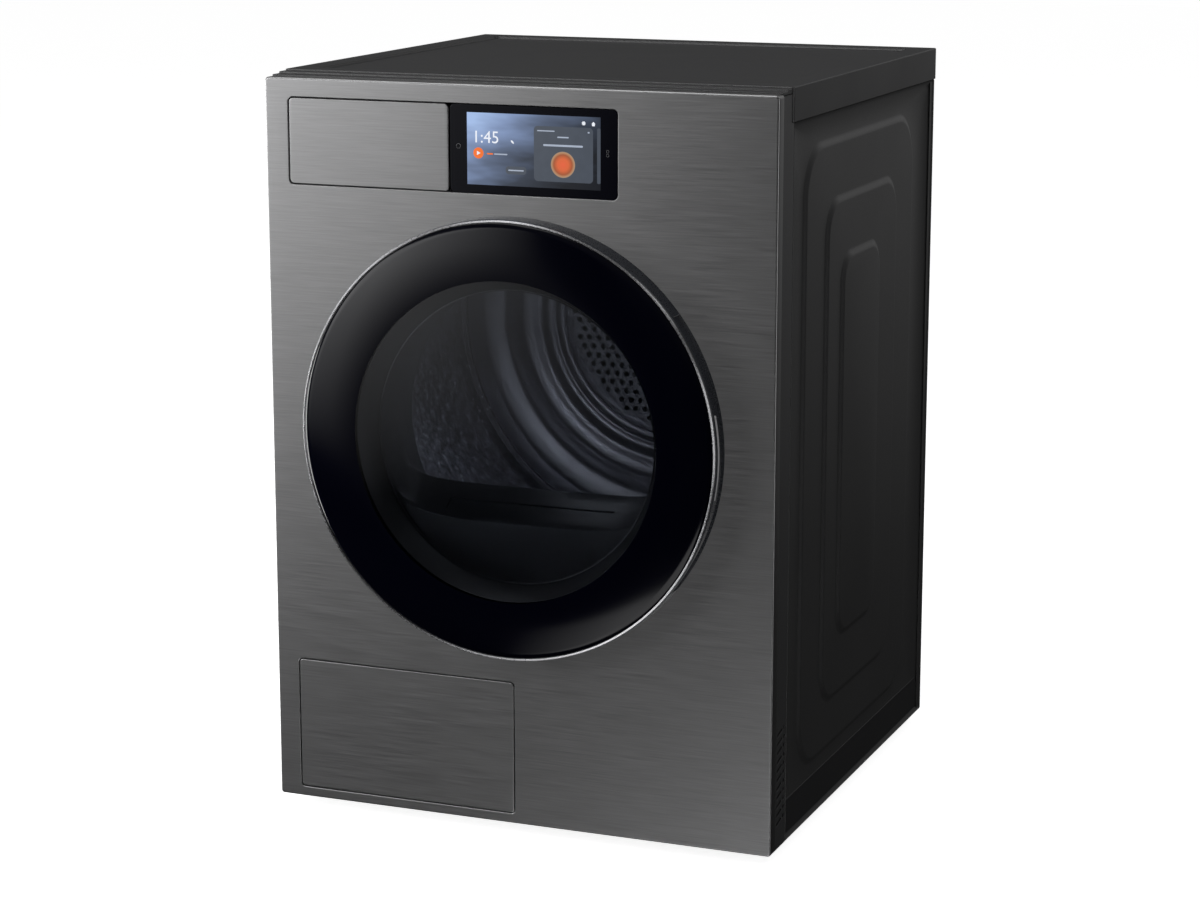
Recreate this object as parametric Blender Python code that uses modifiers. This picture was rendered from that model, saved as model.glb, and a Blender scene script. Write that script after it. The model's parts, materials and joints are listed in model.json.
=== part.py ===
"""A free-standing heat-pump clothes dryer: cabinet, round glass door, driven drum, tank drawer, service flap.

Metres, +Z up. The front faces -Y and +X is the viewer's right. The origin is on the floor, under the middle.
Depths are counted backwards from the face of the front panel: face(depth) gives the Y of a depth.
"""

import math

import bmesh
import bpy
from mathutils import Matrix

# ---- cabinet ----
CABINET_WIDTH = 0.600
CABINET_DEPTH = 0.600  # from the face of the front panel to the back
CABINET_HEIGHT = 0.835  # without the feet
FOOT_HEIGHT = 0.015
DOOR_PROUD = 0.040  # how far the door glass stands in front of the panel
CLEAR = 0.0005  # gap left between neighbours
RING_SIDES = 48  # sides of every large round piece, so that nested rings keep their gaps

# ---- sheet and wall thicknesses ----
PANEL_SKIN = 0.0015
SHEET = 0.001
MOULDING = 0.003
PLATE = 0.0025

# ---- front panel ----
PANEL_DROP = 0.005  # top of the panel below the top of the lid
PANEL_RETURN = 0.015
PANEL_EDGE = 0.003  # rounding of the upright edges
TRIM_BACK = 0.0475  # depth where the top trim ends
TRIM_HEIGHT = 0.0035
STRIP_BACK = 0.054  # depth where the upright side strips end
STRIP_FLANGE = 0.0155
VENT_COUNT = 11
VENT_PITCH = 0.0102
VENT_FIRST = 0.031  # above the cabinet's bottom edge
VENT_DOT = 0.0024

# ---- lid ----
LID_SKIRT = 0.037
LID_WALL = 0.004
LID_RIM = 0.028
LID_RECESS = 0.003
LID_FIELD = 0.0035

# ---- side panels: three pressed frames, each (front depth, back depth, bottom, top, corner radius) ----
OVERHANG = 0.0015  # lid beyond the side panels
RIB_STEP = 0.004
RIB_SLOPE = 0.010
RIB_FRAMES = (
    (0.096, 0.519, 0.060, 0.768, 0.060),
    (0.177, 0.455, 0.115, 0.701, 0.045),
    (0.237, 0.390, 0.182, 0.634, 0.035),
)

# ---- door ----
DOOR_X = 0.002
DOOR_Z = 0.461
GLASS_RADIUS = 0.241
GLASS_THICK = 0.006
RIM_RADIUS = 0.2445
RIM_WALL = 0.006
RIM_FOOT = 0.0095  # height of the rim's widest line above the panel
DOOR_GAP = 0.0015
WINDOW_RADIUS = 0.1642
WINDOW_FLARE = 0.014  # how much wider the frame's funnel is at the glass
BOWL_DEPTH = 0.012
BOWL_GLASS = 0.004
GASKET_RADIUS = 0.1935
GASKET_WIDTH = 0.007
GRIP_ANGLE = 38.0
GRIP_BAR_ANGLE = 11.0
HINGE_INSET = 0.0125  # from the rim's edge to the pin
HINGE_OUT = 0.022  # pin in front of the panel
PIN_RADIUS = 0.0025
KNUCKLE = 0.005
ARM_ANGLE = 50.0
HINGE_HALF = 0.050
LEAF_HALF = 0.029
NOTCH_WIDE = 0.036
HOOK_RADIUS = 0.2145

# ---- round opening and lint filter ----
APERTURE = 0.196
TUNNEL_RADIUS = 0.172
TUNNEL_BACK = 0.095
BULKHEAD_FACE = 0.048
LIP_DROP = 0.102  # flat lip of the opening below the door's centre
LIP_RISE = 0.030
FILTER_WIDTH = 0.196
FILTER_THICK = 0.016
FILTER_TALL = 0.150
SCREEN = 0.0015

# ---- control band ----
BAND_LEFT = 0.028  # from the cabinet's left edge
BAND_RIGHT = 0.420
BAND_TALL = 0.097
BAND_DROP = 0.026  # top of the band below the top of the lid
BAND_SPLIT = 0.2235  # between drawer and display
BAND_CORNER = 0.006
TANK_DEPTH = 0.490
TANK_WALL = 0.002
TANK_SHOULDER = 0.046  # lift of the tank's floor over the drum

# ---- service flap ----
FLAP_LEFT = 0.027
FLAP_RIGHT = 0.2965
FLAP_BOTTOM = 0.0115
FLAP_TOP = 0.1655
FLAP_CORNER = 0.005
FLAP_GAP = 0.001
FLAP_PIN_RISE = 0.006
FLAP_PIN_DEPTH = 0.005
FLAP_SWEEP = 0.0015  # room under the flap for its lower edge as it turns
SURROUND_WALL = 0.006
EXCHANGER_FACE = 0.036
EXCHANGER_FILTER = 0.024

# ---- drum and its drive ----
DRUM_X = 0.002
COLLAR_ROOM = 0.0345  # between the bottoms of the opening's tunnel and the drum's collar
DRUM_RADIUS = 0.278
DRUM_WALL = 0.0015
DRUM_FRONT = 0.0575
DRUM_BACK = 0.497
DRUM_COLLAR = 0.016  # width of the ring at the front of the drum
PERFORATED = 0.147
AIR_HOLE = 0.014
AIR_PITCH = 0.048
LIFTER_TALL = 0.055
LIFTER_WIDE = 0.060
LIFTER_TURN = 10.0
SHAFT_RADIUS = 0.0125
BEARING_RADIUS = 0.024
REAR_BULKHEAD = 0.520
DUCT_RADIUS = 0.170
ROLLER_RADIUS = 0.020
ROLLER_ANGLE = 35.0
ROLLER_FACE = 0.076
ROLLER_WIDE = 0.020
AXLE_RADIUS = 0.004
BELT_FACE = 0.263
BELT_WIDE = 0.012
BELT_THICK = 0.002
MOTOR_X = 0.190
MOTOR_Z = 0.115
MOTOR_RADIUS = 0.055
MOTOR_FACE = 0.290
MOTOR_LONG = 0.110
ROTOR_RADIUS = 0.006
PULLEY_RADIUS = 0.011
IDLER_X = 0.105
IDLER_Z = 0.150
IDLER_RADIUS = 0.018
PIVOT_X = 0.0455
PIVOT_Z = 0.186
FAN_RADIUS = 0.075
FAN_FACE = 0.455
FAN_LONG = 0.040
FAN_BLADES = 16

# ---- base and heat pump ----
BASE_WALL = 0.045
FOOT_INSET = 0.070
FOOT_PAD = 0.022
STUD_RADIUS = 0.005
DUCT_TALL = 0.160
DUCT_LEFT = 0.012  # from the cabinet's left edge
DUCT_RIGHT = 0.278
DUCT_BACK = 0.400
COIL_THICK = 0.075
EVAPORATOR_FACE = 0.075
CONDENSER_FACE = 0.165
COIL_TALL = 0.150
FIN_COUNT = 18
COMPRESSOR_X = 0.205
COMPRESSOR_DEPTH = 0.150
COMPRESSOR_RADIUS = 0.060
COMPRESSOR_TALL = 0.190
PUMP_X = 0.060
PUMP_DEPTH = 0.470
PUMP_RADIUS = 0.028

# ---- places worked out from the sizes above ----
HALF = CABINET_WIDTH / 2
FRONT_Y = (DOOR_PROUD - CABINET_DEPTH) / 2
BASE_Z = FOOT_HEIGHT
TOP_Z = BASE_Z + CABINET_HEIGHT
LID_Z = TOP_Z - LID_SKIRT
BAND_TOP = TOP_Z - BAND_DROP
BAND_BOTTOM = BAND_TOP - BAND_TALL
PANEL_TOP = TOP_Z - PANEL_DROP
SIDE_X = HALF - OVERHANG
DRUM_LIP = DRUM_RADIUS - DRUM_COLLAR
DRUM_Z = DOOR_Z - TUNNEL_RADIUS - PLATE - COLLAR_ROOM + DRUM_LIP
HINGE_X = DOOR_X - RIM_RADIUS + HINGE_INSET
FLOOR_Z = BASE_Z + CLEAR
TRAY_Z = FLOOR_Z + MOULDING
SHAFT_END = REAR_BULKHEAD + 0.057
FEET = {
    f"foot_{row}_{side}": (sign * (HALF - FOOT_INSET), depth)
    for row, depth in (("front", FOOT_INSET), ("rear", CABINET_DEPTH - FOOT_INSET))
    for side, sign in (("left", -1), ("right", 1))
}
IDLER_STAND = (BELT_FACE + BELT_WIDE + 0.013, BELT_FACE + BELT_WIDE + 0.040)
INLET_XS = (0.205, 0.250)
INLET_ZS = (0.700, 0.735)


def face(depth):
    """Y of a depth behind the face of the front panel."""
    return FRONT_Y + depth


# ---- collections, materials and helpers ----
for left_over in list(bpy.data.objects):
    bpy.data.objects.remove(left_over)

PARTS = bpy.data.collections.new("clothes_dryer")
CUTTERS = bpy.data.collections.new("cutters")
CUTTERS.hide_render = True
for made in (PARTS, CUTTERS):
    bpy.context.scene.collection.children.link(made)

# name: (red, green, blue, roughness, metallic)
FINISHES = {
    "brushed_steel": (0.13, 0.13, 0.135, 0.38, 1.0),
    "dark_paint": (0.030, 0.030, 0.033, 0.45, 0.0),
    "black_plastic": (0.012, 0.012, 0.013, 0.50, 0.0),
    "grey_plastic": (0.20, 0.20, 0.21, 0.50, 0.0),
    "light_plastic": (0.55, 0.55, 0.56, 0.50, 0.0),
    "black_glass": (0.004, 0.004, 0.006, 0.05, 0.0),
    "window_glass": (0.05, 0.05, 0.06, 0.05, 0.0),
    "drum_steel": (0.45, 0.45, 0.47, 0.30, 1.0),
    "zinc_steel": (0.40, 0.40, 0.41, 0.45, 1.0),
    "bearing_steel": (0.60, 0.60, 0.60, 0.20, 1.0),
    "aluminium": (0.60, 0.61, 0.62, 0.35, 1.0),
    "rubber": (0.015, 0.015, 0.015, 0.85, 0.0),
    "felt": (0.25, 0.24, 0.22, 0.95, 0.0),
}


def material(finish):
    found = bpy.data.materials.get(finish)
    if found:
        return found
    red, green, blue, rough, metal = FINISHES[finish]
    found = bpy.data.materials.new(finish)
    found.use_nodes = True
    shader = found.node_tree.nodes["Principled BSDF"]
    shader.inputs["Base Color"].default_value = (red, green, blue, 1)
    shader.inputs["Roughness"].default_value = rough
    shader.inputs["Metallic"].default_value = metal
    return found


def add(name, mesh, finish):
    """A part if it has a finish, else a cutter."""
    obj = bpy.data.objects.new(name, mesh)
    if finish:
        mesh.materials.append(material(finish))
        PARTS.objects.link(obj)
    else:
        obj.hide_render = True
        obj.display_type = "WIRE"
        CUTTERS.objects.link(obj)
    return obj


def from_bmesh(name, shape, finish, smooth=None):
    mesh = bpy.data.meshes.new(name)
    shape.to_mesh(mesh)
    shape.free()
    if smooth:
        mesh.shade_smooth()
        mesh.set_sharp_from_angle(angle=math.radians(smooth))
    return add(name, mesh, finish)


def box(name, xs, depths, zs, finish=None):
    """A box between two X, two depths and two heights."""
    shape = bmesh.new()
    bmesh.ops.create_cube(shape, size=1)
    size = (xs[1] - xs[0], depths[1] - depths[0], zs[1] - zs[0])
    middle = (sum(xs) / 2, face(sum(depths) / 2), sum(zs) / 2)
    bmesh.ops.scale(shape, vec=size, verts=shape.verts)
    bmesh.ops.translate(shape, vec=middle, verts=shape.verts)
    return from_bmesh(name, shape, finish)


def rod(name, x, z, radius, depths, finish=None, sides=16):
    """A round bar along Y."""
    shape = bmesh.new()
    turn = Matrix.Rotation(math.radians(90), 3, "X")
    length = depths[1] - depths[0]
    bmesh.ops.create_cone(
        shape, cap_ends=True, segments=sides, radius1=radius, radius2=radius, depth=length
    )
    bmesh.ops.rotate(shape, matrix=turn, verts=shape.verts)
    bmesh.ops.translate(shape, vec=(x, face(sum(depths) / 2), z), verts=shape.verts)
    return from_bmesh(name, shape, finish, smooth=40)


def post(name, x, depth, radius, zs, finish=None, sides=16):
    """A round bar along Z."""
    shape = bmesh.new()
    bmesh.ops.create_cone(
        shape, cap_ends=True, segments=sides, radius1=radius, radius2=radius, depth=zs[1] - zs[0]
    )
    bmesh.ops.translate(shape, vec=(x, face(depth), sum(zs) / 2), verts=shape.verts)
    return from_bmesh(name, shape, finish, smooth=40)


def lying_post(name, xs, depth, z, radius, finish=None, sides=12):
    """A round bar along X."""
    shape = bmesh.new()
    bmesh.ops.create_cone(
        shape, cap_ends=True, segments=sides, radius1=radius, radius2=radius, depth=xs[1] - xs[0]
    )
    bmesh.ops.rotate(shape, matrix=Matrix.Rotation(math.radians(90), 3, "Y"), verts=shape.verts)
    bmesh.ops.translate(shape, vec=(sum(xs) / 2, face(depth), z), verts=shape.verts)
    return from_bmesh(name, shape, finish, smooth=40)


def turned(name, profile, x, z, finish=None, steps=RING_SIDES, closed=True):
    """A profile of (radius, depth) points turned about an axis along Y, at its own X and Z."""
    area = sum(
        a[0] * b[1] - b[0] * a[1] for a, b in zip(profile, profile[1:] + profile[:1])
    )
    points = profile if area < 0 else profile[::-1]
    shape = bmesh.new()
    corners = [shape.verts.new((radius, 0, depth)) for radius, depth in points]
    for first, second in zip(corners, corners[1:]):
        shape.edges.new((first, second))
    if closed:
        shape.edges.new((corners[-1], corners[0]))
    obj = from_bmesh(name, shape, finish)
    obj.location = (x, FRONT_Y, z)
    obj.rotation_euler = (math.radians(-90), 0, 0)
    screw = obj.modifiers.new("turn", "SCREW")
    screw.steps = steps
    screw.render_steps = steps
    screw.use_merge_vertices = True
    screw.merge_threshold = 0.00001
    screw.use_smooth_shade = True
    return obj


def upright(name, profile, x, depth, finish=None, steps=24):
    """A profile of (radius, height) points turned about an upright axis."""
    shape = bmesh.new()
    corners = [shape.verts.new((radius, 0, height)) for radius, height in profile]
    for first, second in zip(corners, corners[1:]):
        shape.edges.new((first, second))
    obj = from_bmesh(name, shape, finish)
    obj.location = (x, face(depth), 0)
    screw = obj.modifiers.new("turn", "SCREW")
    screw.steps = steps
    screw.render_steps = steps
    screw.use_merge_vertices = True
    screw.merge_threshold = 0.00001
    screw.use_smooth_shade = True
    return obj


def arc(x, y, radius, start, stop, steps):
    """Points on an arc, angles in degrees, both ends included."""
    turns = [math.radians(start + (stop - start) * i / steps) for i in range(steps + 1)]
    return [(x + radius * math.cos(t), y + radius * math.sin(t)) for t in turns]


def circle(x, y, radius, sides=RING_SIDES):
    return arc(x, y, radius, 0, 360, sides)[:-1]


def rounded(xs, ys, radius, steps=3):
    """A rectangle with round corners, as points."""
    left, right = xs[0] + radius, xs[1] - radius
    low, high = ys[0] + radius, ys[1] - radius
    return (
        arc(right, high, radius, 0, 90, steps)
        + arc(left, high, radius, 90, 180, steps)
        + arc(left, low, radius, 180, 270, steps)
        + arc(right, low, radius, 270, 360, steps)
    )


def rectangle(xs, ys):
    return [(xs[1], ys[1]), (xs[0], ys[1]), (xs[0], ys[0]), (xs[1], ys[0])]


def slab(name, outlines, near, far, plane, finish=None):
    """Flat outlines, the first one outside and the rest holes, made thick from near to far.

    In plane "front" the points are (x, z) and near and far are depths.
    In plane "side" they are (depth, z) and near and far are X.
    In plane "top" they are (x, depth) and near and far are heights.
    """
    curve = bpy.data.curves.new(name, "CURVE")
    curve.dimensions = "2D"
    curve.fill_mode = "BOTH"
    curve.extrude = (far - near) / 2
    for outline in outlines:
        spline = curve.splines.new("POLY")
        spline.points.add(len(outline) - 1)
        for point, (u, v) in zip(spline.points, outline):
            point.co = (u, v, 0, 1)
        spline.use_cyclic_u = True
    flat = bpy.data.objects.new(name + "_outline", curve)
    CUTTERS.objects.link(flat)
    graph = bpy.context.evaluated_depsgraph_get()
    mesh = bpy.data.meshes.new_from_object(flat.evaluated_get(graph))
    bpy.data.objects.remove(flat)
    bpy.data.curves.remove(curve)
    shape = bmesh.new()
    shape.from_mesh(mesh)
    bpy.data.meshes.remove(mesh)
    bmesh.ops.remove_doubles(shape, verts=shape.verts, dist=0.00001)
    middle = (near + far) / 2
    if plane == "front":
        place = Matrix(((1, 0, 0, 0), (0, 0, -1, face(middle)), (0, 1, 0, 0), (0, 0, 0, 1)))
    elif plane == "side":
        place = Matrix(((0, 0, 1, middle), (1, 0, 0, FRONT_Y), (0, 1, 0, 0), (0, 0, 0, 1)))
    else:
        place = Matrix(((1, 0, 0, 0), (0, 1, 0, FRONT_Y), (0, 0, 1, middle), (0, 0, 0, 1)))
    bmesh.ops.transform(shape, matrix=place, verts=shape.verts)
    bmesh.ops.recalc_face_normals(shape, faces=shape.faces)
    return from_bmesh(name, shape, finish)


def cut(obj, *cutters):
    for cutter in cutters:
        step = obj.modifiers.new("cut", "BOOLEAN")
        step.operation = "DIFFERENCE"
        step.object = cutter


def join(obj, *others):
    for other in others:
        step = obj.modifiers.new("join", "BOOLEAN")
        step.operation = "UNION"
        step.object = other


def offset(points, distance):
    """The outline moved outwards by a distance, for points that run anticlockwise."""
    moved = []
    for before, here, after in zip(points[-1:] + points[:-1], points, points[1:] + points[:1]):
        sides = []
        for a, b in ((before, here), (here, after)):
            length = math.hypot(b[0] - a[0], b[1] - a[1])
            sides.append(((b[1] - a[1]) / length, (a[0] - b[0]) / length))
        (ax, ay), (bx, by) = sides
        share = distance / (1 + ax * bx + ay * by)
        moved.append((here[0] + share * (ax + bx), here[1] + share * (ay + by)))
    return moved


# ---- cabinet shell ----
def front_panel():
    outer = rounded((-HALF, HALF), (BASE_Z, PANEL_TOP), PANEL_EDGE)
    panel = slab("front_panel", [outer], 0, PANEL_RETURN, "front", "brushed_steel")
    inside = rounded(
        (-HALF + PANEL_SKIN, HALF - PANEL_SKIN),
        (BASE_Z + PANEL_SKIN, PANEL_TOP - PANEL_SKIN),
        PANEL_EDGE - PANEL_SKIN,
    )
    hollow = slab("panel_hollow", [inside], PANEL_SKIN, PANEL_RETURN + PANEL_SKIN, "front")
    through = (-PANEL_SKIN, 2 * PANEL_SKIN)
    band = rounded(
        (BAND_LEFT - HALF, BAND_RIGHT - HALF), (BAND_BOTTOM, BAND_TOP), BAND_CORNER
    )
    flap = rounded(
        (FLAP_LEFT - HALF, FLAP_RIGHT - HALF), (BASE_Z + FLAP_BOTTOM, BASE_Z + FLAP_TOP), FLAP_CORNER
    )
    slot = rectangle(
        (DOOR_X + HOOK_RADIUS - 0.0095, DOOR_X + HOOK_RADIUS + 0.0095), (DOOR_Z - 0.016, DOOR_Z + 0.016)
    )
    cut(
        panel,
        hollow,
        slab("band_cutter", [band], *through, "front"),
        slab("flap_cutter", [flap], *through, "front"),
        slab("slot_cutter", [slot], *through, "front"),
        slab("aperture_cutter", [circle(DOOR_X, DOOR_Z, APERTURE)], *through, "front"),
    )


def side_strip(side, name):
    """Upright strip between the front panel and a side panel, with the vents at its foot."""
    start = PANEL_RETURN + CLEAR
    low, high = FLOOR_Z, PANEL_TOP - TRIM_HEIGHT + 0.001
    outline = [
        (start, low),
        (STRIP_BACK, low),
        (STRIP_BACK, LID_Z - CLEAR),
        (TRIM_BACK, LID_Z - CLEAR),
        (TRIM_BACK, high),
        (start, high),
    ]
    edges = sorted((side * SIDE_X, side * (SIDE_X - 0.002)))
    strip = slab(name, [outline], *edges, "side", "black_plastic")
    flange_xs = sorted((side * (SIDE_X - 0.001), side * (SIDE_X - STRIP_FLANGE)))
    flange = box(name + "_flange", flange_xs, (start, start + 0.002), (low, high))
    join(strip, flange)
    reach = sorted((side * (SIDE_X + 0.002), side * (SIDE_X - 0.004)))
    middle = (start + STRIP_BACK) / 2 + 0.002
    for index in range(VENT_COUNT):
        z = BASE_Z + VENT_FIRST + index * VENT_PITCH
        slot = [
            (middle - 0.013, z - 0.0035),
            (middle + 0.006, z + 0.0005),
            (middle + 0.006, z + 0.0035),
            (middle - 0.013, z - 0.0005),
        ]
        dot = circle(middle + 0.0115, z + 0.0025, VENT_DOT, 6)
        cut(
            strip,
            slab(f"{name}_slot_{index}", [slot], *reach, "side"),
            slab(f"{name}_dot_{index}", [dot], *reach, "side"),
        )


def side_panel(side, name):
    """Sheet with three pressed frames, each one a step inwards or outwards from the last."""
    depths = (STRIP_BACK + CLEAR, CABINET_DEPTH - SHEET - CLEAR)
    heights = (FLOOR_Z, LID_Z - CLEAR)
    rings = [(rounded(depths, heights, 0.002, 4), 0.0)]
    for index, (near, far, low, high, radius) in enumerate(RIB_FRAMES):
        depth_in = RIB_STEP if index % 2 == 0 else 0.0
        before = 0.0 if index % 2 == 0 else RIB_STEP
        outer = rounded((near, far), (BASE_Z + low, BASE_Z + high), radius, 4)
        inner = rounded(
            (near + RIB_SLOPE, far - RIB_SLOPE),
            (BASE_Z + low + RIB_SLOPE, BASE_Z + high - RIB_SLOPE),
            radius - RIB_SLOPE,
            4,
        )
        rings.append((outer, before))
        rings.append((inner, depth_in))
    shape = bmesh.new()
    loops = []
    for outline, inward in rings:
        x = side * (SIDE_X - inward)
        loops.append([shape.verts.new((x, face(depth), z)) for depth, z in outline])
    for outer, inner in zip(loops, loops[1:]):
        count = len(outer)
        for i in range(count):
            j = (i + 1) % count
            shape.faces.new((outer[i], outer[j], inner[j], inner[i]))
    shape.faces.new(loops[-1])
    bmesh.ops.recalc_face_normals(shape, faces=shape.faces)
    if shape.faces[-1].normal.x * side < 0:
        bmesh.ops.reverse_faces(shape, faces=shape.faces)
    panel = from_bmesh(name, shape, "dark_paint", smooth=30)
    skin = panel.modifiers.new("sheet", "SOLIDIFY")
    skin.thickness = SHEET
    skin.offset = -1


def rear_panel():
    wide = SIDE_X - SHEET - CLEAR
    heights = (FLOOR_Z, LID_Z - CLEAR)
    back = CABINET_DEPTH - 2 * SHEET
    panel = box("rear_panel", (-wide, wide), (back - 0.012, back), heights, "dark_paint")
    hollow = box(
        "rear_hollow",
        (-wide + SHEET, wide - SHEET),
        (back - 0.020, back - SHEET),
        (heights[0] + SHEET, heights[1] - SHEET),
    )
    inlet = box("rear_inlet_cutter", INLET_XS, (back - 0.02, back + 0.02), INLET_ZS)
    cut(panel, hollow, inlet)
    for index in range(6):
        x = 0.080 + index * 0.024
        slot = box(f"rear_slot_{index}", (x, x + 0.008), (back - 0.02, back + 0.02), (0.080, 0.180))
        cut(panel, slot)


def top_cover():
    depths = (TRIM_BACK + CLEAR, CABINET_DEPTH)
    outer = rounded((-HALF, HALF), depths, 0.003)
    cover = slab("top_cover", [outer], LID_Z, TOP_Z, "top", "dark_paint")
    hollow = box(
        "lid_hollow",
        (-HALF + LID_WALL, HALF - LID_WALL),
        (depths[0] + LID_WALL, depths[1] - LID_WALL),
        (LID_Z - LID_WALL, TOP_Z - LID_RECESS - LID_FIELD),
    )
    recess = rounded((-HALF + LID_RIM, HALF - LID_RIM), (depths[0] + LID_RIM, depths[1] - LID_RIM), 0.006)
    cut(cover, hollow, slab("lid_recess", [recess], TOP_Z - LID_RECESS, TOP_Z + LID_RECESS, "top"))


def top_front_trim():
    """Two steps that lead from the front panel's top edge up to the lid."""
    start, low = PANEL_RETURN + CLEAR, PANEL_TOP - TRIM_HEIGHT + 0.0015
    middle = (start + TRIM_BACK) / 2
    outline = [
        (start, low),
        (TRIM_BACK, low),
        (TRIM_BACK, PANEL_TOP + 0.0035),
        (middle, PANEL_TOP + 0.0035),
        (middle, PANEL_TOP + 0.0015),
        (start, PANEL_TOP + 0.0015),
    ]
    slab("top_front_trim", [outline], -SIDE_X, SIDE_X, "side", "dark_paint")


def base_pan():
    """Tray that carries the heat pump, with the walls of its air duct moulded on."""
    wide = SIDE_X - SHEET - 0.002
    depths = (0.032, CABINET_DEPTH - 0.014)
    top = FLOOR_Z + BASE_WALL
    pan = box("base_pan", (-wide, wide), depths, (FLOOR_Z, top), "black_plastic")
    hollow = box(
        "pan_hollow",
        (-wide + MOULDING, wide - MOULDING),
        (depths[0] + MOULDING, depths[1] - MOULDING),
        (TRAY_Z, top + MOULDING),
    )
    cut(pan, hollow)
    left, right = DUCT_LEFT - HALF, DUCT_RIGHT - HALF
    duct_top = FLOOR_Z + DUCT_TALL
    root = FLOOR_Z + MOULDING / 2
    front_of_duct = EXCHANGER_FACE + EXCHANGER_FILTER + 0.003
    walls = (
        box("duct_left", (left, left + MOULDING), (front_of_duct, DUCT_BACK), (root, duct_top)),
        box("duct_right", (right - MOULDING, right), (front_of_duct, DUCT_BACK), (root, duct_top)),
        box(
            "duct_back",
            (left + MOULDING / 2, right - MOULDING / 2),
            (DUCT_BACK - MOULDING, DUCT_BACK),
            (root, duct_top),
        ),
    )
    saddle_top = MOTOR_Z - MOTOR_RADIUS - CLEAR
    saddle = box(
        "motor_saddle",
        (MOTOR_X - 0.035, MOTOR_X + 0.035),
        (MOTOR_FACE + 0.01, MOTOR_FACE + MOTOR_LONG - 0.01),
        (root, saddle_top),
    )
    stand = box("idler_stand", (PIVOT_X - 0.012, PIVOT_X + 0.012), IDLER_STAND, (root, PIVOT_Z + 0.012))
    join(pan, *walls, saddle, stand)
    filter_xs, filter_zs = exchanger_outline()
    gate = box(
        "pan_gate",
        (filter_xs[0] - 0.001, filter_xs[1] + 0.001),
        (depths[0] - 0.002, depths[0] + MOULDING + 0.001),
        (filter_zs[0] - 0.001, top + MOULDING),
    )
    cut(pan, gate)
    bored = (IDLER_STAND[0] - 0.01, IDLER_STAND[1] - 0.004)
    cut(pan, rod("idler_bore", PIVOT_X, PIVOT_Z, AXLE_RADIUS + CLEAR, bored))
    for index, (x, depth) in enumerate(FEET.values()):
        through = (FLOOR_Z - 0.01, TRAY_Z + 0.01)
        cut(pan, post(f"stud_hole_{index}", x, depth, STUD_RADIUS + CLEAR, through, sides=12))


def foot(name, x, depth):
    """Levelling foot: a pad, a hexagon-sized collar and a stud up through the tray."""
    pad_top = FOOT_HEIGHT * 0.55
    profile = [
        (0, TRAY_Z + 0.012),
        (STUD_RADIUS, TRAY_Z + 0.012),
        (STUD_RADIUS, FOOT_HEIGHT),
        (0.012, FOOT_HEIGHT),
        (0.012, pad_top),
        (FOOT_PAD, pad_top),
        (FOOT_PAD, 0),
        (0, 0),
    ]
    upright(name, profile, x, depth, "rubber", 16)


def power_inlet():
    back = CABINET_DEPTH - 2 * SHEET
    body = box(
        "power_inlet",
        (INLET_XS[0] + CLEAR, INLET_XS[1] - CLEAR),
        (back - 0.030, back),
        (INLET_ZS[0] + CLEAR, INLET_ZS[1] - CLEAR),
        "black_plastic",
    )
    middle_x, middle_z = sum(INLET_XS) / 2, sum(INLET_ZS) / 2
    cut(body, rod("inlet_bore", middle_x, middle_z, 0.006, (back - 0.020, back + 0.01), sides=12))


# ---- control band ----
def tank_outline():
    """Section of the water tank, anticlockwise as (x, z): its floor climbs over the drum's shoulder."""
    left = BAND_LEFT - HALF + 0.006
    right = BAND_SPLIT - HALF - 0.008
    low = BAND_BOTTOM + 0.008
    high = LID_Z - 0.002
    return [
        (left, low),
        (left + 0.070, low + 0.003),
        (right, low + 0.003 + TANK_SHOULDER + 0.013),
        (right, high),
        (left, high),
    ]


def tank_drawer():
    drawer = rounded(
        (BAND_LEFT - HALF + FLAP_GAP, BAND_SPLIT - HALF - FLAP_GAP),
        (BAND_BOTTOM + FLAP_GAP, BAND_TOP - FLAP_GAP),
        BAND_CORNER - FLAP_GAP,
    )
    slab("drawer_front", [drawer], 0.0004, 0.010, "front", "brushed_steel")
    outline = tank_outline()
    start = 0.010 + CLEAR
    tank = slab("water_tank", [outline], start, start + TANK_DEPTH, "front", "grey_plastic")
    inside = offset(outline, -TANK_WALL)
    hollow = slab("tank_hollow", [inside], start + TANK_WALL, start + TANK_DEPTH - TANK_WALL, "front")
    left = outline[0][0]
    top = outline[3][1]
    mouth = box("tank_mouth", (left + 0.035, left + 0.115), (0.400, 0.470), (top - 0.01, top + 0.01))
    cut(tank, hollow, mouth)
    inner = offset(outline, CLEAR)
    outer = offset(outline, CLEAR + 0.0015)
    lowered = outline[3][1] - 0.030
    channel = slab("tank_guide", [outer], 0.0525, 0.500, "front", "zinc_steel")
    room = slab("guide_room", [inner], 0.040, 0.520, "front")
    over = box("guide_over", (-HALF, HALF), (0.040, 0.520), (lowered, lowered + 0.1))
    cut(channel, room, over)


def display():
    left, right = BAND_SPLIT - HALF + FLAP_GAP, BAND_RIGHT - HALF - CLEAR
    low, high = BAND_BOTTOM + CLEAR, BAND_TOP - CLEAR
    glass = rounded((left, right), (low, high), BAND_CORNER - CLEAR)
    slab("display_glass", [glass], 0.0006, 0.0030, "front", "black_glass")
    inset = 0.005
    xs, zs = (left + inset, right - inset), (low + inset, high - inset)
    box("display_module", xs, (0.0038, 0.022), zs, "black_plastic")


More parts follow.
